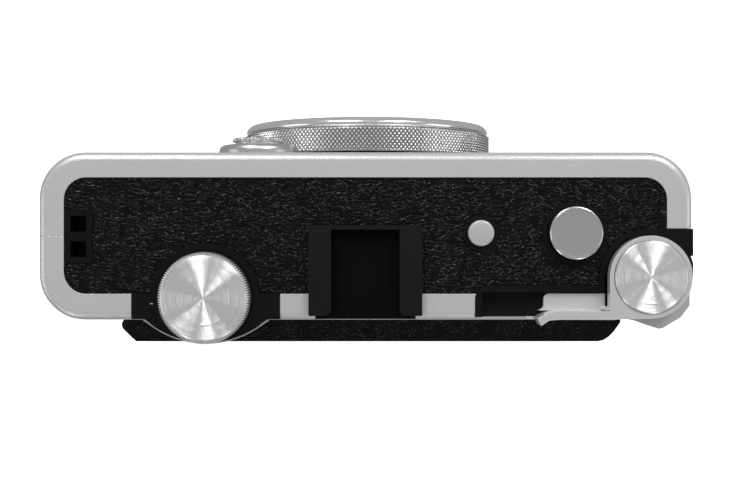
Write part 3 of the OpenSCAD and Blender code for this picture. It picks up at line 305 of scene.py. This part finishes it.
def leather_sheet(name, stretch, seed):
    """Black sheet whose grain is warped cells, drawn out along the body, with creases between."""
    sheet = Sheet(name, roughness=0.25, Specular_IOR_Level=0.16)
    where = sheet.place(stretch, (seed, seed * 2, seed * 3))
    grain = 1180
    wander = sheet.add("ShaderNodeTexNoise", {}, out=1, Vector=where, Scale=420.0, Detail=2.0)
    warped = where.plus(wander.times(0.0011))
    patches = sheet.noise(520, 2, 0.5).above(0.3, 0.55)
    creases = 1 - (1 - sheet.cells(grain, "DISTANCE_TO_EDGE", warped).above(0.0, 0.2)) * patches
    pebbles = sheet.cells(grain, "F1", warped)
    lumps = sheet.noise(1700, 3, 0.6, warped)
    folds = sheet.noise(330, 2, 0.5, warped)
    height = creases * 0.42 + (1 - pebbles) * 0.3 + lumps * 0.3 + folds * 0.5
    # Painted shade: the colour is darker along the creases; the lumps vary it at random.
    sheet.feed(Base_Color=sheet.colour(lumps * creases, (0.001, 0.001, 0.001), (0.004, 0.004, 0.004)),
               Roughness=0.21 - 0.08 * lumps,
               Normal=sheet.bump(height, 0.00021, 0.95))
    return sheet.material


finish_node("top_leather", leather_sheet("deck_leather", (0.68, 1.3, 1), 0.31))
body_leather = leather_sheet("body_leather", (1, 1, 1), 0.83)
for name in ("front_leather", "rear_leather", "door_leather", "film_door"):
    finish_node(name, body_leather)

# ---- Black mouldings ---------------------------------------------------------------------------
# The deck plate, the dial's and the lever's seats, the strap anchor, the door and the chamber:
# matt black plastic from an eroded mould, a little glossier where it is handled.


def black_moulding(name="black_moulding", tone=0.004, roughness=0.42, grain=4200, shine=0.12):
    """Near-black plastic with a fine mould texture and faint clouding."""
    sheet = Sheet(name, roughness=roughness, Specular_IOR_Level=shine)
    texture = sheet.noise(grain, 2)
    cloud = sheet.noise(70, 4, 0.6)
    sheet.feed(Base_Color=sheet.colour(cloud, (tone * 0.7,) * 3, (tone * 1.5,) * 3),
               Roughness=roughness - 0.06 + 0.12 * cloud,
               Normal=sheet.bump(texture, 0.00003, 0.4, sheet.soft_edges(0.00015)))
    return sheet.material


moulding = black_moulding()
for name in ("top_deck", "dial_base", "lever_base", "strap_anchor", "film_chamber", "roller_frame",
             "door_latch", "port_door", "hinge_leaf", "lens_barrel"):
    finish_node(name, moulding)

# ---- Accessory shoe ----------------------------------------------------------------------------
# Folded steel in black enamel, screwed to the deck, whose lips hold an accessory's foot. A black leaf spring
# covers its floor and the screws.
finish_node("accessory_shoe", black_moulding("black_enamel", 0.006, 0.36, 6000, 0.18))
finish_node("shoe_spring", black_moulding("black_spring", 0.0018, 0.5, 9000, 0.06))

# ---- Lens ring ---------------------------------------------------------------------------------
# Knurled ring that turns on the lens neck: 195 diamonds round it and about four along it, rolled
# into a plated band between two plain edges.


def soften(corners, radius, closed=False, steps=4):
    """A line of points whose corners are rounded off: each becomes a short parabola."""
    corners = np.array(corners, float)
    count = len(corners)
    line = []
    for i, corner in enumerate(corners):
        if not closed and i in (0, count - 1):
            line.append(corner)
            continue
        before, after = corners[i - 1], corners[(i + 1) % count]
        for share in np.linspace(0, 1, steps + 1):
            reach = [min(radius, np.linalg.norm(end - corner) * 0.45) for end in (before, after)]
            start = corner + (before - corner) / np.linalg.norm(before - corner) * reach[0]
            end = corner + (after - corner) / np.linalg.norm(after - corner) * reach[1]
            line.append(start * (1 - share) ** 2 + corner * 2 * share * (1 - share) + end * share ** 2)
    return np.array(line)


def lathe(name, profile, centre, steps=160, along="Z", closed=False, ripple=None, smooth=True):
    """Surface of revolution round the axis through centre. Point (j, k) of the profile (r_j, h_j)
    stands at the angle a = 2 pi k / steps, at r_j + ripple(a, r_j, h_j) from the axis and h_j along
    it: +Z, or -Y for the lens. An end of the profile with r = 0 closes in one point."""
    profile = np.array(profile, float)
    angle = 2 * np.pi * np.arange(steps) / steps
    rows = []
    for r, h in profile:
        if r == 0:
            rows.append(np.array([[0, 0, h]]))
            continue
        reach = r + (ripple(angle, r, h) if ripple else 0) * np.ones(steps)
        rows.append(np.stack([reach * np.cos(angle), reach * np.sin(angle), h * np.ones(steps)], 1))
    starts = np.cumsum([0] + [len(row) for row in rows])
    faces = []
    k = np.arange(steps)
    pairs = [(j, j + 1) for j in range(len(rows) - 1)] + ([(len(rows) - 1, 0)] if closed else [])
    for a, b in pairs:
        first = starts[a] + (k if len(rows[a]) > 1 else 0 * k)
        first_next = starts[a] + ((k + 1) % steps if len(rows[a]) > 1 else 0 * k)
        last = starts[b] + (k if len(rows[b]) > 1 else 0 * k)
        last_next = starts[b] + ((k + 1) % steps if len(rows[b]) > 1 else 0 * k)
        quads = np.stack([first, first_next, last_next, last], 1)
        if len(rows[a]) == 1:
            quads = quads[:, [0, 2, 3]]
        elif len(rows[b]) == 1:
            quads = quads[:, [0, 1, 2]]
        faces += quads.tolist()
    points = np.concatenate(rows)
    if along == "-Y":
        points = points[:, [0, 2, 1]] * (1, -1, 1)
    return surface(name, points + np.array(centre, float), faces, smooth)


def surface(name, points, faces, smooth=True):
    """An object of those points and faces, its normals outward and its edges over 32 degrees sharp."""
    mesh = bpy.data.meshes.new(name)
    mesh.from_pydata(np.asarray(points).tolist(), [], faces)
    shape = bmesh.new()
    shape.from_mesh(mesh)
    bmesh.ops.recalc_face_normals(shape, faces=shape.faces)
    shape.to_mesh(mesh)
    shape.free()
    mesh.polygons.foreach_set("use_smooth", [smooth] * len(mesh.polygons))
    if smooth:
        mesh.set_sharp_from_angle(angle=math.radians(32))
    thing = bpy.data.objects.new(name, mesh)
    scene.collection.objects.link(thing)
    return thing


def fit(thing, body, slot_name, material, *replaced):
    """Fixes a new piece to a CAD body with its material, and lets it stand for CAD nodes, which it hides.
    slot_name is not used.
    """
    thing.data.materials.append(material)
    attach(thing, body)
    if replaced:
        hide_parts(*replaced)


def triangle(t):
    """Triangle wave: 0 at whole numbers and 1 half way between them."""
    return 1 - np.abs(2 * (t - np.floor(t)) - 1)


def spun_metal(name, centre, axis, tint, groove, roughness, edge=0.0, wander=0.03, metallic=1.0):
    """Metal turned round axis: the normal tips along the radius by fine noise of the radius, groove
    deep, so that a light draws a bright fan on each side of the centre; coarser noise, wander times
    as deep, leaves a few visible rings."""
    sheet = Sheet(name, roughness=roughness, metallic=metallic)
    x, y, z = sheet.axes(sheet.place(centre=centre))
    first, second = (x, y) if axis == "Z" else (x, z)
    radius = (first * first + second * second).root()
    fine = sheet.noise_along(radius, 60000, 3.0)
    rings = sheet.noise_along(radius, 1900, 1.0)
    parts = (first, second, 0.0) if axis == "Z" else (first, 0.0, second)
    spoke = sheet.add("ShaderNodeCombineXYZ", {}, *parts).unit()
    tip = spoke.times((fine - 0.5) * groove + (rings - 0.5) * (groove * wander))
    to_world = {"vector_type": "VECTOR", "convert_from": "OBJECT", "convert_to": "WORLD"}
    tip = sheet.add("ShaderNodeVectorTransform", to_world, tip)
    normal = sheet.soft_edges(edge) if edge else sheet.add("ShaderNodeNewGeometry", {}, out="Normal")
    shade = (fine * 0.5 + rings * 0.5).above(0.3, 0.7)
    sheet.feed(Base_Color=sheet.colour(shade, tuple(c * 0.94 for c in tint), tint),
               Roughness=roughness + 0.03 * rings, Normal=normal.plus(tip).unit())
    return sheet.material


def plated(name, tint=(0.72, 0.72, 0.71), roughness=0.2, grain=2600, edge=0.0002, metallic=1.0):
    """Plated surface: faint mottling, fine dimples and polish marks."""
    sheet = Sheet(name, roughness=roughness, metallic=metallic)
    mottle = sheet.noise(grain, 3)
    wipe = sheet.noise(140, 4, 0.6, sheet.place((1, 4, 1)))
    sheet.feed(Base_Color=sheet.colour(mottle, tuple(c * 0.9 for c in tint), tint),
               Roughness=roughness - 0.04 + 0.1 * wipe,
               Normal=sheet.bump(mottle, 0.00002, 0.35, sheet.soft_edges(edge)))
    return sheet.material


ring_low, ring_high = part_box("lens_ring")
lens_z = (ring_low.z + ring_high.z) / 2
ring_r = (ring_high.x - ring_low.x) / 2
ring_len = ring_high.y - ring_low.y
neck_r = ring_r - 2.52 * MM
lens_foot = (0, ring_high.y, lens_z)
ring_edge = 0.5 * MM
ring_bevel, bevel_rise = 0.32 * MM, 0.14 * MM
diamonds = 195
diamond_len = 1.07 * MM
knurl_depth = 0.36 * MM
knurl_start = 0.3 * MM
diamond_steps = 6
knurl_rows = int((ring_len - 2 * knurl_start) / diamond_len * diamond_steps) + 1
diamond_top = 0.85


def knurl(angle, r, h):
    """Depth of the rolled diamonds: where two families of grooves cross, pyramids are left."""
    turn, step = angle * diamonds / (2 * np.pi), (h - knurl_start) / diamond_len
    if r < ring_r - 0.1 * MM:
        return 0 * angle
    tops = np.minimum(triangle(turn + step), triangle(turn - step))
    return -knurl_depth * (1 - np.minimum(tops, diamond_top) / diamond_top)


def wave(t):
    """The same triangle wave in a material."""
    return 1 - abs((t % 1.0) * 2 - 1)


ring_profile = [(neck_r, 0), (ring_r - ring_edge, 0), (ring_r - ring_bevel, bevel_rise)]
ring_profile += [(ring_r, knurl_start + diamond_len * i / diamond_steps) for i in range(knurl_rows)]
ring_profile += [(ring_r - ring_bevel, ring_len - bevel_rise), (ring_r - ring_edge, ring_len),
                 (neck_r, ring_len)]
knurled_ring = lathe("knurled_ring", ring_profile, lens_foot, diamonds * diamond_steps, "-Y", True, knurl,
                     smooth=False)
knurl_plate = Sheet("knurl_plate", roughness=0.26, metallic=0.8)
kx, ky, kz = knurl_plate.axes(knurl_plate.place(centre=(0, ring_high.y - knurl_start, lens_z)))
turn, step = kz.angle_from(kx) * (diamonds / (2 * math.pi)), ky * (-1 / diamond_len)
tops = wave(turn + step).at_most(wave(turn - step))
on_knurl = (kx * kx + kz * kz).root().above(ring_r - 0.5 * MM, ring_r - 0.4 * MM)
specks = knurl_plate.noise(3000, 3)
# Painted shade: the colour is darker in the grooves between the diamonds, where shade falls; faint random
# specks vary it a little.
grooves = (1 - tops.above(0.12, 0.7)) * on_knurl * 0.9 + specks * 0.1
knurl_plate.feed(Base_Color=knurl_plate.colour(grooves, (0.93, 0.93, 0.92), (0.34, 0.34, 0.34)),
                 Roughness=0.2 + 0.14 * specks)
fit(knurled_ring, "lens_ring", "plated_plastic", knurl_plate.material, "lens_ring")

# ---- Front rim ---------------------------------------------------------------------------------
# Polished ring in front of the knurl, pressed on the neck and turned, with fine circular marks.
rim_low, rim_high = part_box("front_rim")
rim_r = (rim_high.x - rim_low.x) / 2
rim_len = rim_high.y - rim_low.y
rim_profile = soften([(rim_r - 6.1 * MM, 0), (rim_r - 0.25 * MM, 0), (rim_r, 0.35 * MM),
                      (rim_r, rim_len * 0.55), (rim_r - 0.9 * MM, rim_len), (rim_r - 3.2 * MM, rim_len),
                      (rim_r - 4.2 * MM, rim_len - 0.5 * MM), (rim_r - 6.0 * MM, 0.4 * MM)],
                     0.35 * MM, closed=True)
rim = lathe("polished_rim", rim_profile, (0, rim_high.y, lens_z), 240, "-Y", True)
rim_metal = spun_metal("rim_metal", (0, 0, lens_z), "Y", (0.9, 0.9, 0.89), 0.12, 0.17, metallic=0.88)
fit(rim, "root", "spun_aluminium", rim_metal, "front_rim")

# ---- Lens --------------------------------------------------------------------------------------
# A flat cover glass in the barrel, and behind it a black baffle with stepped ridges round the
# camera module's own front lens, a small coated dome.


def glass_sheet(name, tint=(0.95, 0.97, 0.98), smear=90.0, roughness=0.02, clear=(0.99, 0.99, 0.99)):
    """Glass with faint smears, which shift its colour from tint to clear and change its gloss."""
    sheet = Sheet(name, roughness=roughness, Transmission_Weight=1.0, IOR=1.5)
    film = sheet.noise(smear, 3, 0.55)
    sheet.feed(Base_Color=sheet.colour(film, tint, clear), Roughness=roughness + 0.03 * film)
    return sheet.material


finish_node("lens_window", glass_sheet("cover_glass"))
baffle_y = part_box("lens_window")[1].y + 0.3 * MM
baffle_r, ridge_step, ridge_width = 10.9 * MM, 0.52 * MM, 0.08 * MM
ridge_foot, ridge_climb, ridge_height = 0.15 * MM, 0.13 * MM, 0.22 * MM
mouth_r = 6.15 * MM
baffle_profile = [(baffle_r + 0.05 * MM, -0.3 * MM)]
for i in range(9):
    r, h = baffle_r - i * ridge_step, ridge_foot + i * ridge_climb
    baffle_profile += [(r, h), (r - ridge_width, h + ridge_height)]
baffle_profile += [(mouth_r, 1.3 * MM), (mouth_r, 0.9 * MM)]
baffle = lathe("lens_baffle", baffle_profile, (0, baffle_y, lens_z), 120, "-Y", True, smooth=False)
fit(baffle, "root", "camera_black", black_moulding("baffle_black", 0.003, 0.55, 7000, 0.2))

dome_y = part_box("camera_module")[0].y + 0.95 * MM
dome_r, dome_rise, dome_edge = 4.1 * MM, 0.75 * MM, 0.1 * MM
dome_profile = [(0, 0), (dome_r * 0.99, 0), (dome_r, dome_edge)]
dome_profile += [(dome_r * math.cos(t), dome_edge + dome_rise * math.sin(t))
                 for t in np.linspace(0.08, math.pi / 2 - 0.08, 14)]
dome_profile += [(0, dome_edge + dome_rise)]
dome = lathe("front_element", dome_profile, (0, dome_y, lens_z), 96, "-Y")
coated = Sheet("coated_glass", roughness=0.12, Coat_Weight=0.1, Specular_IOR_Level=0.4)
dx, dz = coated.axes(coated.place(centre=(0, 0, lens_z)))[::2]
coat_ring = (dx * dx + dz * dz).root().above(0.001, 0.0042)
haze = coated.noise(300, 2)
coated.feed(Base_Color=coated.colour(coat_ring, (0.004, 0.006, 0.02), (0.03, 0.012, 0.05)),
            Roughness=0.11 + 0.04 * haze)
fit(dome, "root", "clear_glass", coated.material)
finish_node("camera_module", black_moulding("module_black", 0.006, 0.3, 5200, 0.4))

# ---- Film dial ---------------------------------------------------------------------------------
# Plated dial with a coined edge, turned by thumb. Its top is a spun aluminium disc, set in flush,
# whose circular tool marks catch the lights as fans.
dial_low, dial_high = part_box("film_dial")
cap_low, cap_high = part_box("film_dial_cap")
dial_x, dial_y = (dial_low.x + dial_high.x) / 2, (cap_low.y + cap_high.y) / 2
dial_r = (dial_high.x - dial_low.x) / 2
dial_top = dial_high.z
seat_z = dial_top - 3.6 * MM
cap_r = (cap_high.x - cap_low.x) / 2
dial_teeth = 110
tooth_depth = 0.48 * MM
tooth_root = dial_r - 0.62 * MM
stem_r, stem_len = 2.2 * MM, 3 * MM


def coin_edge(angle, r, h):
    """V grooves round the rim, which fade out over the bevel at the top and at the foot."""
    share = np.clip((r - tooth_root) / (0.5 * MM), 0, 1)
    return -tooth_depth * share * (1 - np.minimum(triangle(angle * dial_teeth / (2 * np.pi)) * 1.15, 1))


dial_profile = [(0, seat_z - stem_len), (stem_r, seat_z - stem_len), (stem_r, seat_z),
                (dial_r - 0.7 * MM, seat_z), (dial_r - 0.12 * MM, seat_z + 0.15 * MM),
                (dial_r, seat_z + 0.35 * MM), (dial_r, seat_z + 1.2 * MM), (dial_r, seat_z + 2.2 * MM),
                (dial_r, dial_top - 0.3 * MM),
                (dial_r - 0.06 * MM, dial_top - 0.12 * MM), (dial_r - 0.18 * MM, dial_top - 0.03 * MM),
                (dial_r - 0.35 * MM, dial_top), (dial_r - 0.6 * MM, dial_top),
                (dial_r - 0.66 * MM, dial_top - 0.06 * MM), (dial_r - 0.68 * MM, dial_top - 0.5 * MM),
                (0, dial_top - 0.6 * MM)]
dial = lathe("coined_dial", dial_profile, (dial_x, dial_y, 0), dial_teeth * 6, ripple=coin_edge)
coin = Sheet("coin_plate", roughness=0.24, metallic=0.6)
cx, cy = coin.axes(coin.place(centre=(dial_x, dial_y, 0)))[:2]
reach = (cx * cx + cy * cy).root()
grime = coin.noise(2600, 3)
# Painted shade: the colour goes nearly black in the valleys between the teeth of the coined edge, where shade
# falls.
valley_shade = 1 - wave(cy.angle_from(cx) * (dial_teeth / (2 * math.pi))).above(0.15, 0.6)
valley_shade = valley_shade * reach.above(tooth_root, dial_r - 0.5 * MM)
coin.feed(Base_Color=coin.colour(valley_shade * 0.9 + grime * 0.1, (0.88, 0.88, 0.87), (0.02, 0.02, 0.02)),
          Roughness=0.2 + 0.12 * grime)
fit(dial, "film_dial", "plated_plastic", coin.material, "film_dial")
disc_profile = soften([(0, dial_top - 0.4 * MM), (cap_r, dial_top - 0.4 * MM), (cap_r, cap_high.z),
                       (cap_r - 0.3 * MM, cap_high.z + 0.1 * MM), (0, cap_high.z + 0.12 * MM)], 0.12 * MM)
disc = lathe("dial_disc", disc_profile, (dial_x, dial_y, 0), 200)
dial_metal = spun_metal("dial_spun", (dial_x, dial_y, 0), "Z", (0.87, 0.87, 0.86), 3.0, 0.18, metallic=0.8)
fit(disc, "film_dial", "spun_aluminium", dial_metal, "film_dial_cap")

# ---- Index line --------------------------------------------------------------------------------
# Small white line beside the film dial, which its settings are read against: a low blunt-ended
# bead of paint on the dial's plate.
mark_at = np.array((0.0401, 0.0127, deck_z + 0.1 * MM))
half_len, half_width, bead_height, bead_sink = 0.27 * MM, 0.07 * MM, 0.05 * MM, 0.02 * MM
sides, rings = 32, 5


def blunt(t):
    """A sine or cosine whose flanks are steepened, which squares off the bead's ends."""
    return np.sign(t) * np.abs(t) ** 0.4


u, v = np.meshgrid(np.linspace(0, 2 * np.pi, sides + 1)[:-1], np.linspace(0, np.pi / 2, rings + 1)[:-1])
mark_points = np.stack([half_len * blunt(np.cos(u)) * np.cos(v), half_width * blunt(np.sin(u)) * np.cos(v),
                        bead_height * np.sin(v)], 2).reshape(-1, 3) + mark_at
mark_points = np.vstack([mark_points, mark_at + (0, 0, bead_height), mark_at - (0, 0, bead_sink)])
crown, sole = rings * sides, rings * sides + 1
mark_faces = []
for k in range(sides):
    k_next = (k + 1) % sides
    for foot in range(0, (rings - 1) * sides, sides):
        mark_faces.append([foot + k, foot + k_next, foot + sides + k_next, foot + sides + k])
    mark_faces += [[crown - sides + k, crown - sides + k_next, crown], [k_next, k, sole]]
mark = surface("dial_index", mark_points, mark_faces)
paint = Sheet("white_fill", roughness=0.5)
chips = paint.noise(4000, 3)
paint.feed(Base_Color=paint.colour(chips, (0.62, 0.62, 0.6), (0.85, 0.85, 0.83)), Roughness=0.4 + 0.2 * chips)
fit(mark, "root", "silver_paint", paint.material)

# ---- Power dial --------------------------------------------------------------------------------
# Switch on the front, beside the lens: a plated knob, a thin fluted plate on a plain foot, on a
# domed plated collar.
power_low, power_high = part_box("power_dial")
power_x, power_z = (power_low.x + power_high.x) / 2, (power_low.z + power_high.z) / 2
power_r = (power_high.x - power_low.x) / 2
power_teeth = 44


def power_edge(angle, r, h):
    """Shallow flutes round the knob."""
    share = np.clip((r - (power_r - 0.5 * MM)) / (0.4 * MM), 0, 1)
    return -0.22 * MM * share * (1 - triangle(angle * power_teeth / (2 * np.pi)))


power_face, power_stem, power_foot = 1.3 * MM, 1 * MM, power_r - 0.6 * MM
power_profile = [(0, -power_stem), (power_stem, -power_stem), (power_stem, 0), (power_r - 0.75 * MM, 0),
                 (power_foot, 0.1 * MM), (power_foot, 0.5 * MM), (power_r - 0.1 * MM, 0.55 * MM),
                 (power_r, 0.65 * MM), (power_r, power_face - 0.25 * MM),
                 (power_r - 0.12 * MM, power_face - 0.12 * MM), (power_r - 0.4 * MM, power_face),
                 (power_r - 0.9 * MM, power_face), (power_r - 1.1 * MM, power_face - 0.1 * MM),
                 (0, power_face - 0.1 * MM)]
power_seat = (power_x, power_low.y + power_face, power_z)
power = lathe("power_knob", power_profile, power_seat, power_teeth * 6, "-Y", ripple=power_edge)
power_plate = plated("power_plate", (0.74, 0.74, 0.73), 0.28, 1800)
fit(power, "power_dial", "plated_plastic", power_plate, "power_dial")
finish_node("power_collar", plated("collar_plate", (0.74, 0.74, 0.73), 0.3, 1800))

# ---- Print lever -------------------------------------------------------------------------------
# Wind-on style lever that starts a print: one plated casting with a hub, a thin arm along the rear
# edge and a ledge for the thumb. A spun disc with fine rings fills the hub.
lever_cap_low, lever_cap_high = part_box("lever_cap")
lever_x = (lever_cap_low.x + lever_cap_high.x) / 2
lever_y = (lever_cap_low.y + lever_cap_high.y) / 2
satin = Sheet("satin_plate", roughness=0.3, metallic=0.7)
drift = satin.noise(3200, 3)
long_marks = satin.noise(1500, 3, 0.6, satin.place((0.12, 1, 1)))
satin.feed(Base_Color=satin.colour(drift, (0.76, 0.76, 0.75), (0.84, 0.84, 0.83)),
           Roughness=0.28 + 0.06 * long_marks,
           Normal=satin.bump(drift, 0.000004, 0.4, satin.soft_edges(0.00014)))
finish_node("print_lever", satin.material)
hub_r = (lever_cap_high.x - lever_cap_low.x) / 2
hub_top = lever_cap_high.z
hub_profile = soften([(0, hub_top - 0.5 * MM), (hub_r, hub_top - 0.5 * MM), (hub_r, hub_top - 0.12 * MM),
                      (hub_r - 0.28 * MM, hub_top + 0.05 * MM), (hub_r - 0.6 * MM, hub_top - 0.02 * MM),
                      (0, hub_top + 0.08 * MM)], 0.12 * MM)
hub = lathe("lever_disc", hub_profile, (lever_x, lever_y, 0), 200)
hub_metal = spun_metal("lever_spun", (lever_x, lever_y, 0), "Z", (0.9, 0.9, 0.89), 3.0, 0.17,
                       wander=0.05, metallic=0.78)
fit(hub, "print_lever", "spun_aluminium", hub_metal, "lever_cap")

# ---- Buttons on the deck -----------------------------------------------------------------------
# The shutter button is a polished metal cup, slightly dished for the finger; the function button
# beside it is satin and domed. Both run in black collars of the deck plate.
shutter_metal = plated("shutter_metal", (0.82, 0.82, 0.81), 0.2, 1500)
function_plate = plated("function_plate", (0.6, 0.6, 0.59), 0.42, metallic=0.6)
cup_depth, rim_h = 3.4 * MM, 0.24 * MM
for name, dish, material in (("shutter_button", -0.14 * MM, shutter_metal),
                             ("function_button", 0.06 * MM, function_plate)):
    low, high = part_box(name)
    middle = ((low.x + high.x) / 2, (low.y + high.y) / 2, 0)
    r, top = (high.x - low.x) / 2, high.z
    button_profile = soften([(0, top - cup_depth), (r, top - cup_depth), (r, top - rim_h), (r - rim_h, top),
                             (r - rim_h - 0.25 * MM, top - 0.02 * MM)], 0.15 * MM).tolist()
    last_r, last_h = button_profile[-1]
    button_profile += [(last_r * math.cos(t), last_h + dish * math.sin(t))
                       for t in np.linspace(0.25, 1.45, 9)]
    button_profile += [(0, last_h + dish)]
    button = lathe(name + "_cup", button_profile, middle, 128)
    fit(button, name, "polished_metal" if dish < 0 else "plated_plastic", material, name)

# ---- Flash and mirror --------------------------------------------------------------------------
# Behind a prismatic window: a bright trough and a glass tube. The self-portrait mirror is a small
# dome set in the leather below.
prism = Sheet("flash_glass", roughness=0.12, Transmission_Weight=0.85, IOR=1.49)
px, pz = prism.axes(prism.place())[::2]
rib_pitch, row_pitch = 0.0011, 0.0016
ribs = (px * (2 * math.pi / rib_pitch)).sine()
rows = (pz * (2 * math.pi / row_pitch)).sine()
dust = prism.noise(700, 2)
prism.feed(Base_Color=prism.colour(dust, (0.9, 0.91, 0.92), (0.98, 0.98, 0.98)), Roughness=0.08 + 0.1 * dust,
           Normal=prism.bump(ribs * 0.5 + rows * 0.25, 0.00006, 0.35))
finish_node("flash_window", prism.material)
finish_node("flash_reflector", plated("trough_metal", (0.85, 0.85, 0.84), 0.14, 1800))
finish_node("flash_tube", glass_sheet("tube_glass", (0.9, 0.93, 0.95), 400))
mirror = Sheet("mirror_face", roughness=0.04, metallic=1.0)
film = mirror.noise(160, 3)
mirror.feed(Base_Color=mirror.colour(film, (0.82, 0.83, 0.84), (0.9, 0.9, 0.91)),
            Roughness=0.02 + 0.05 * film)
finish_node("selfie_mirror", mirror.material)

# ---- Front shutter button and port door --------------------------------------------------------
# A second shutter button low on the front, plated and ringed by a shallow groove, and the black
# flap over the charging port and the card slot.
press_low, press_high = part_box("front_shutter_button")
press_x, press_z = (press_low.x + press_high.x) / 2, (press_low.z + press_high.z) / 2
press_r = (press_high.x - press_low.x) / 2
press_top = press_high.y - press_low.y
press_bevel, press_foot = 0.5 * MM, 1 * MM
press_profile = soften([(0, press_foot), (press_r, press_foot), (press_r, press_top - press_bevel),
                        (press_r - press_bevel, press_top), (press_r - 1 * MM, press_top),
                        (press_r - 1.15 * MM, press_top - 0.15 * MM), (press_r - 1.3 * MM, press_top),
                        (press_r - 2.5 * MM, press_top - 0.05 * MM), (0, press_top - 0.25 * MM)], 0.15 * MM)
press = lathe("front_button_cup", press_profile, (press_x, press_high.y, press_z), 128, "-Y")
press_metal = spun_metal("front_button_metal", (press_x, 0, press_z), "Y", (0.76, 0.76, 0.75), 0.7, 0.22)
fit(press, "front_shutter_button", "plated_plastic", press_metal, "front_shutter_button")

# ---- Film door ---------------------------------------------------------------------------------
# The screen, switched off, behind a smoked cover glass: a dark picture area with a faint grid of
# dots inside a black border. The leather round it is named with the other leathers.
screen_low, screen_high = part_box("screen_panel")
panel = Sheet("screen_off", roughness=0.2, Specular_IOR_Level=0.1)
screen_centre = tuple((low + high) / 2 for low, high in zip(screen_low, screen_high))
sx, sz = panel.axes(panel.place(centre=screen_centre))[::2]
half_w, half_h = (screen_high.x - screen_low.x) / 2, (screen_high.z - screen_low.z) / 2
across = 1 - abs(sx).above(half_w - 4.2 * MM, half_w - 4.0 * MM)
upright = 1 - abs(sz).above(half_h - 3.2 * MM, half_h - 3.0 * MM)
inside = across * upright
dot_turn = 2 * math.pi / 0.00012
grid = ((sx * dot_turn).sine() * (sz * dot_turn).sine() * 0.5 + 0.5) * inside
glow = panel.noise(40, 2) * inside
lit = inside * 0.7 + grid * 0.2 + glow * 0.1
panel.feed(Base_Color=panel.colour(lit, (0.001, 0.001, 0.001), (0.006, 0.007, 0.008)),
           Roughness=0.3 - 0.1 * glow)
finish_node("screen_panel", panel.material)
finish_node("screen_glass", glass_sheet("screen_cover", (0.16, 0.165, 0.17), 260, 0.03, (0.2, 0.205, 0.21)))

# The round pad, its centre key and the two small keys: satin plated, turned faces.
for name in ("control_pad", "ok_button", "play_button", "back_button"):
    low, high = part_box(name)
    finish_node(name, spun_metal(name + "_metal", ((low.x + high.x) / 2, 0, (low.z + high.z) / 2), "Y",
                                 (0.7, 0.7, 0.69), 0.25, 0.3, edge=0.0003))

# ---- Inside ------------------------------------------------------------------------------------
# What shows when the door is open, or through the gaps: boards, cell, motor, gears and rollers.
steel = plated("spring_steel", (0.6, 0.6, 0.6), 0.28, 3000, 0.00006)
for name in ("screws", "tripod_socket", "hinge_pins", "lever_spring", "shutter_spring",
             "pressure_springs", "motor"):
    finish_node(name, steel)

board = Sheet("circuit_board", roughness=0.4)
lanes = board.cells(420, "DISTANCE_TO_EDGE", board.place((1, 0, 1)), 0.15).above(0.0, 0.12)
pads = board.cells(900, "F1", board.place((1, 0, 1)), 0.4).above(0.16, 0.2)
lacquer = board.colour(lanes, (0.008, 0.03, 0.018), (0.004, 0.014, 0.009))
board.feed(Base_Color=board.colour(pads, (0.16, 0.12, 0.05), lacquer), Roughness=0.3 + 0.2 * lanes,
           Normal=board.bump(lanes, 0.00005, 0.5, board.soft_edges(0.0001)))
for name in ("main_board", "top_board", "port_board"):
    finish_node(name, board.material)

wrap = Sheet("cell_wrap", roughness=0.3, Coat_Weight=0.3)
crinkle = wrap.noise(260, 4, 0.6)
band = wrap.axes(wrap.place())[2].above(0.030, 0.0302)
wrap.feed(Base_Color=wrap.colour(band, (0.05, 0.055, 0.065), (0.16, 0.17, 0.18)),
          Roughness=0.25 + 0.15 * crinkle,
          Normal=wrap.bump(crinkle, 0.0001, 0.5, wrap.soft_edges(0.0004)))
finish_node("battery", wrap.material)
finish_node("flash_capacitor", black_moulding("capacitor_sleeve", 0.008, 0.3, 3000, 0.5))
finish_node("print_head", black_moulding("print_head_glaze", 0.006, 0.25, 5000, 0.5))

rubber = Sheet("roller_rubber", roughness=0.7, Specular_IOR_Level=0.25)
grind = rubber.noise(5000, 3)
turns = rubber.noise_along(rubber.axes(rubber.place())[2], 4000, 2.0)
rubber.feed(Base_Color=rubber.colour(grind, (0.012, 0.012, 0.012), (0.03, 0.03, 0.03)),
            Roughness=0.6 + 0.2 * turns,
            Normal=rubber.bump(grind * 0.5 + turns * 0.5, 0.00005, 0.6))
for name in ("front_roller", "rear_roller"):
    finish_node(name, rubber.material)

acetal = Sheet("gear_plastic", roughness=0.42, Specular_IOR_Level=0.4)
flow = acetal.noise(500, 3, 0.55, acetal.place((1, 1, 3)))
acetal.feed(Base_Color=acetal.colour(flow, (0.62, 0.6, 0.52), (0.76, 0.74, 0.66)),
            Roughness=0.36 + 0.14 * flow,
            Normal=acetal.bump(flow, 0.00004, 0.4, acetal.soft_edges(0.00008)))
for name in ("idler_gear", "motor_pinion"):
    finish_node(name, acetal.material)
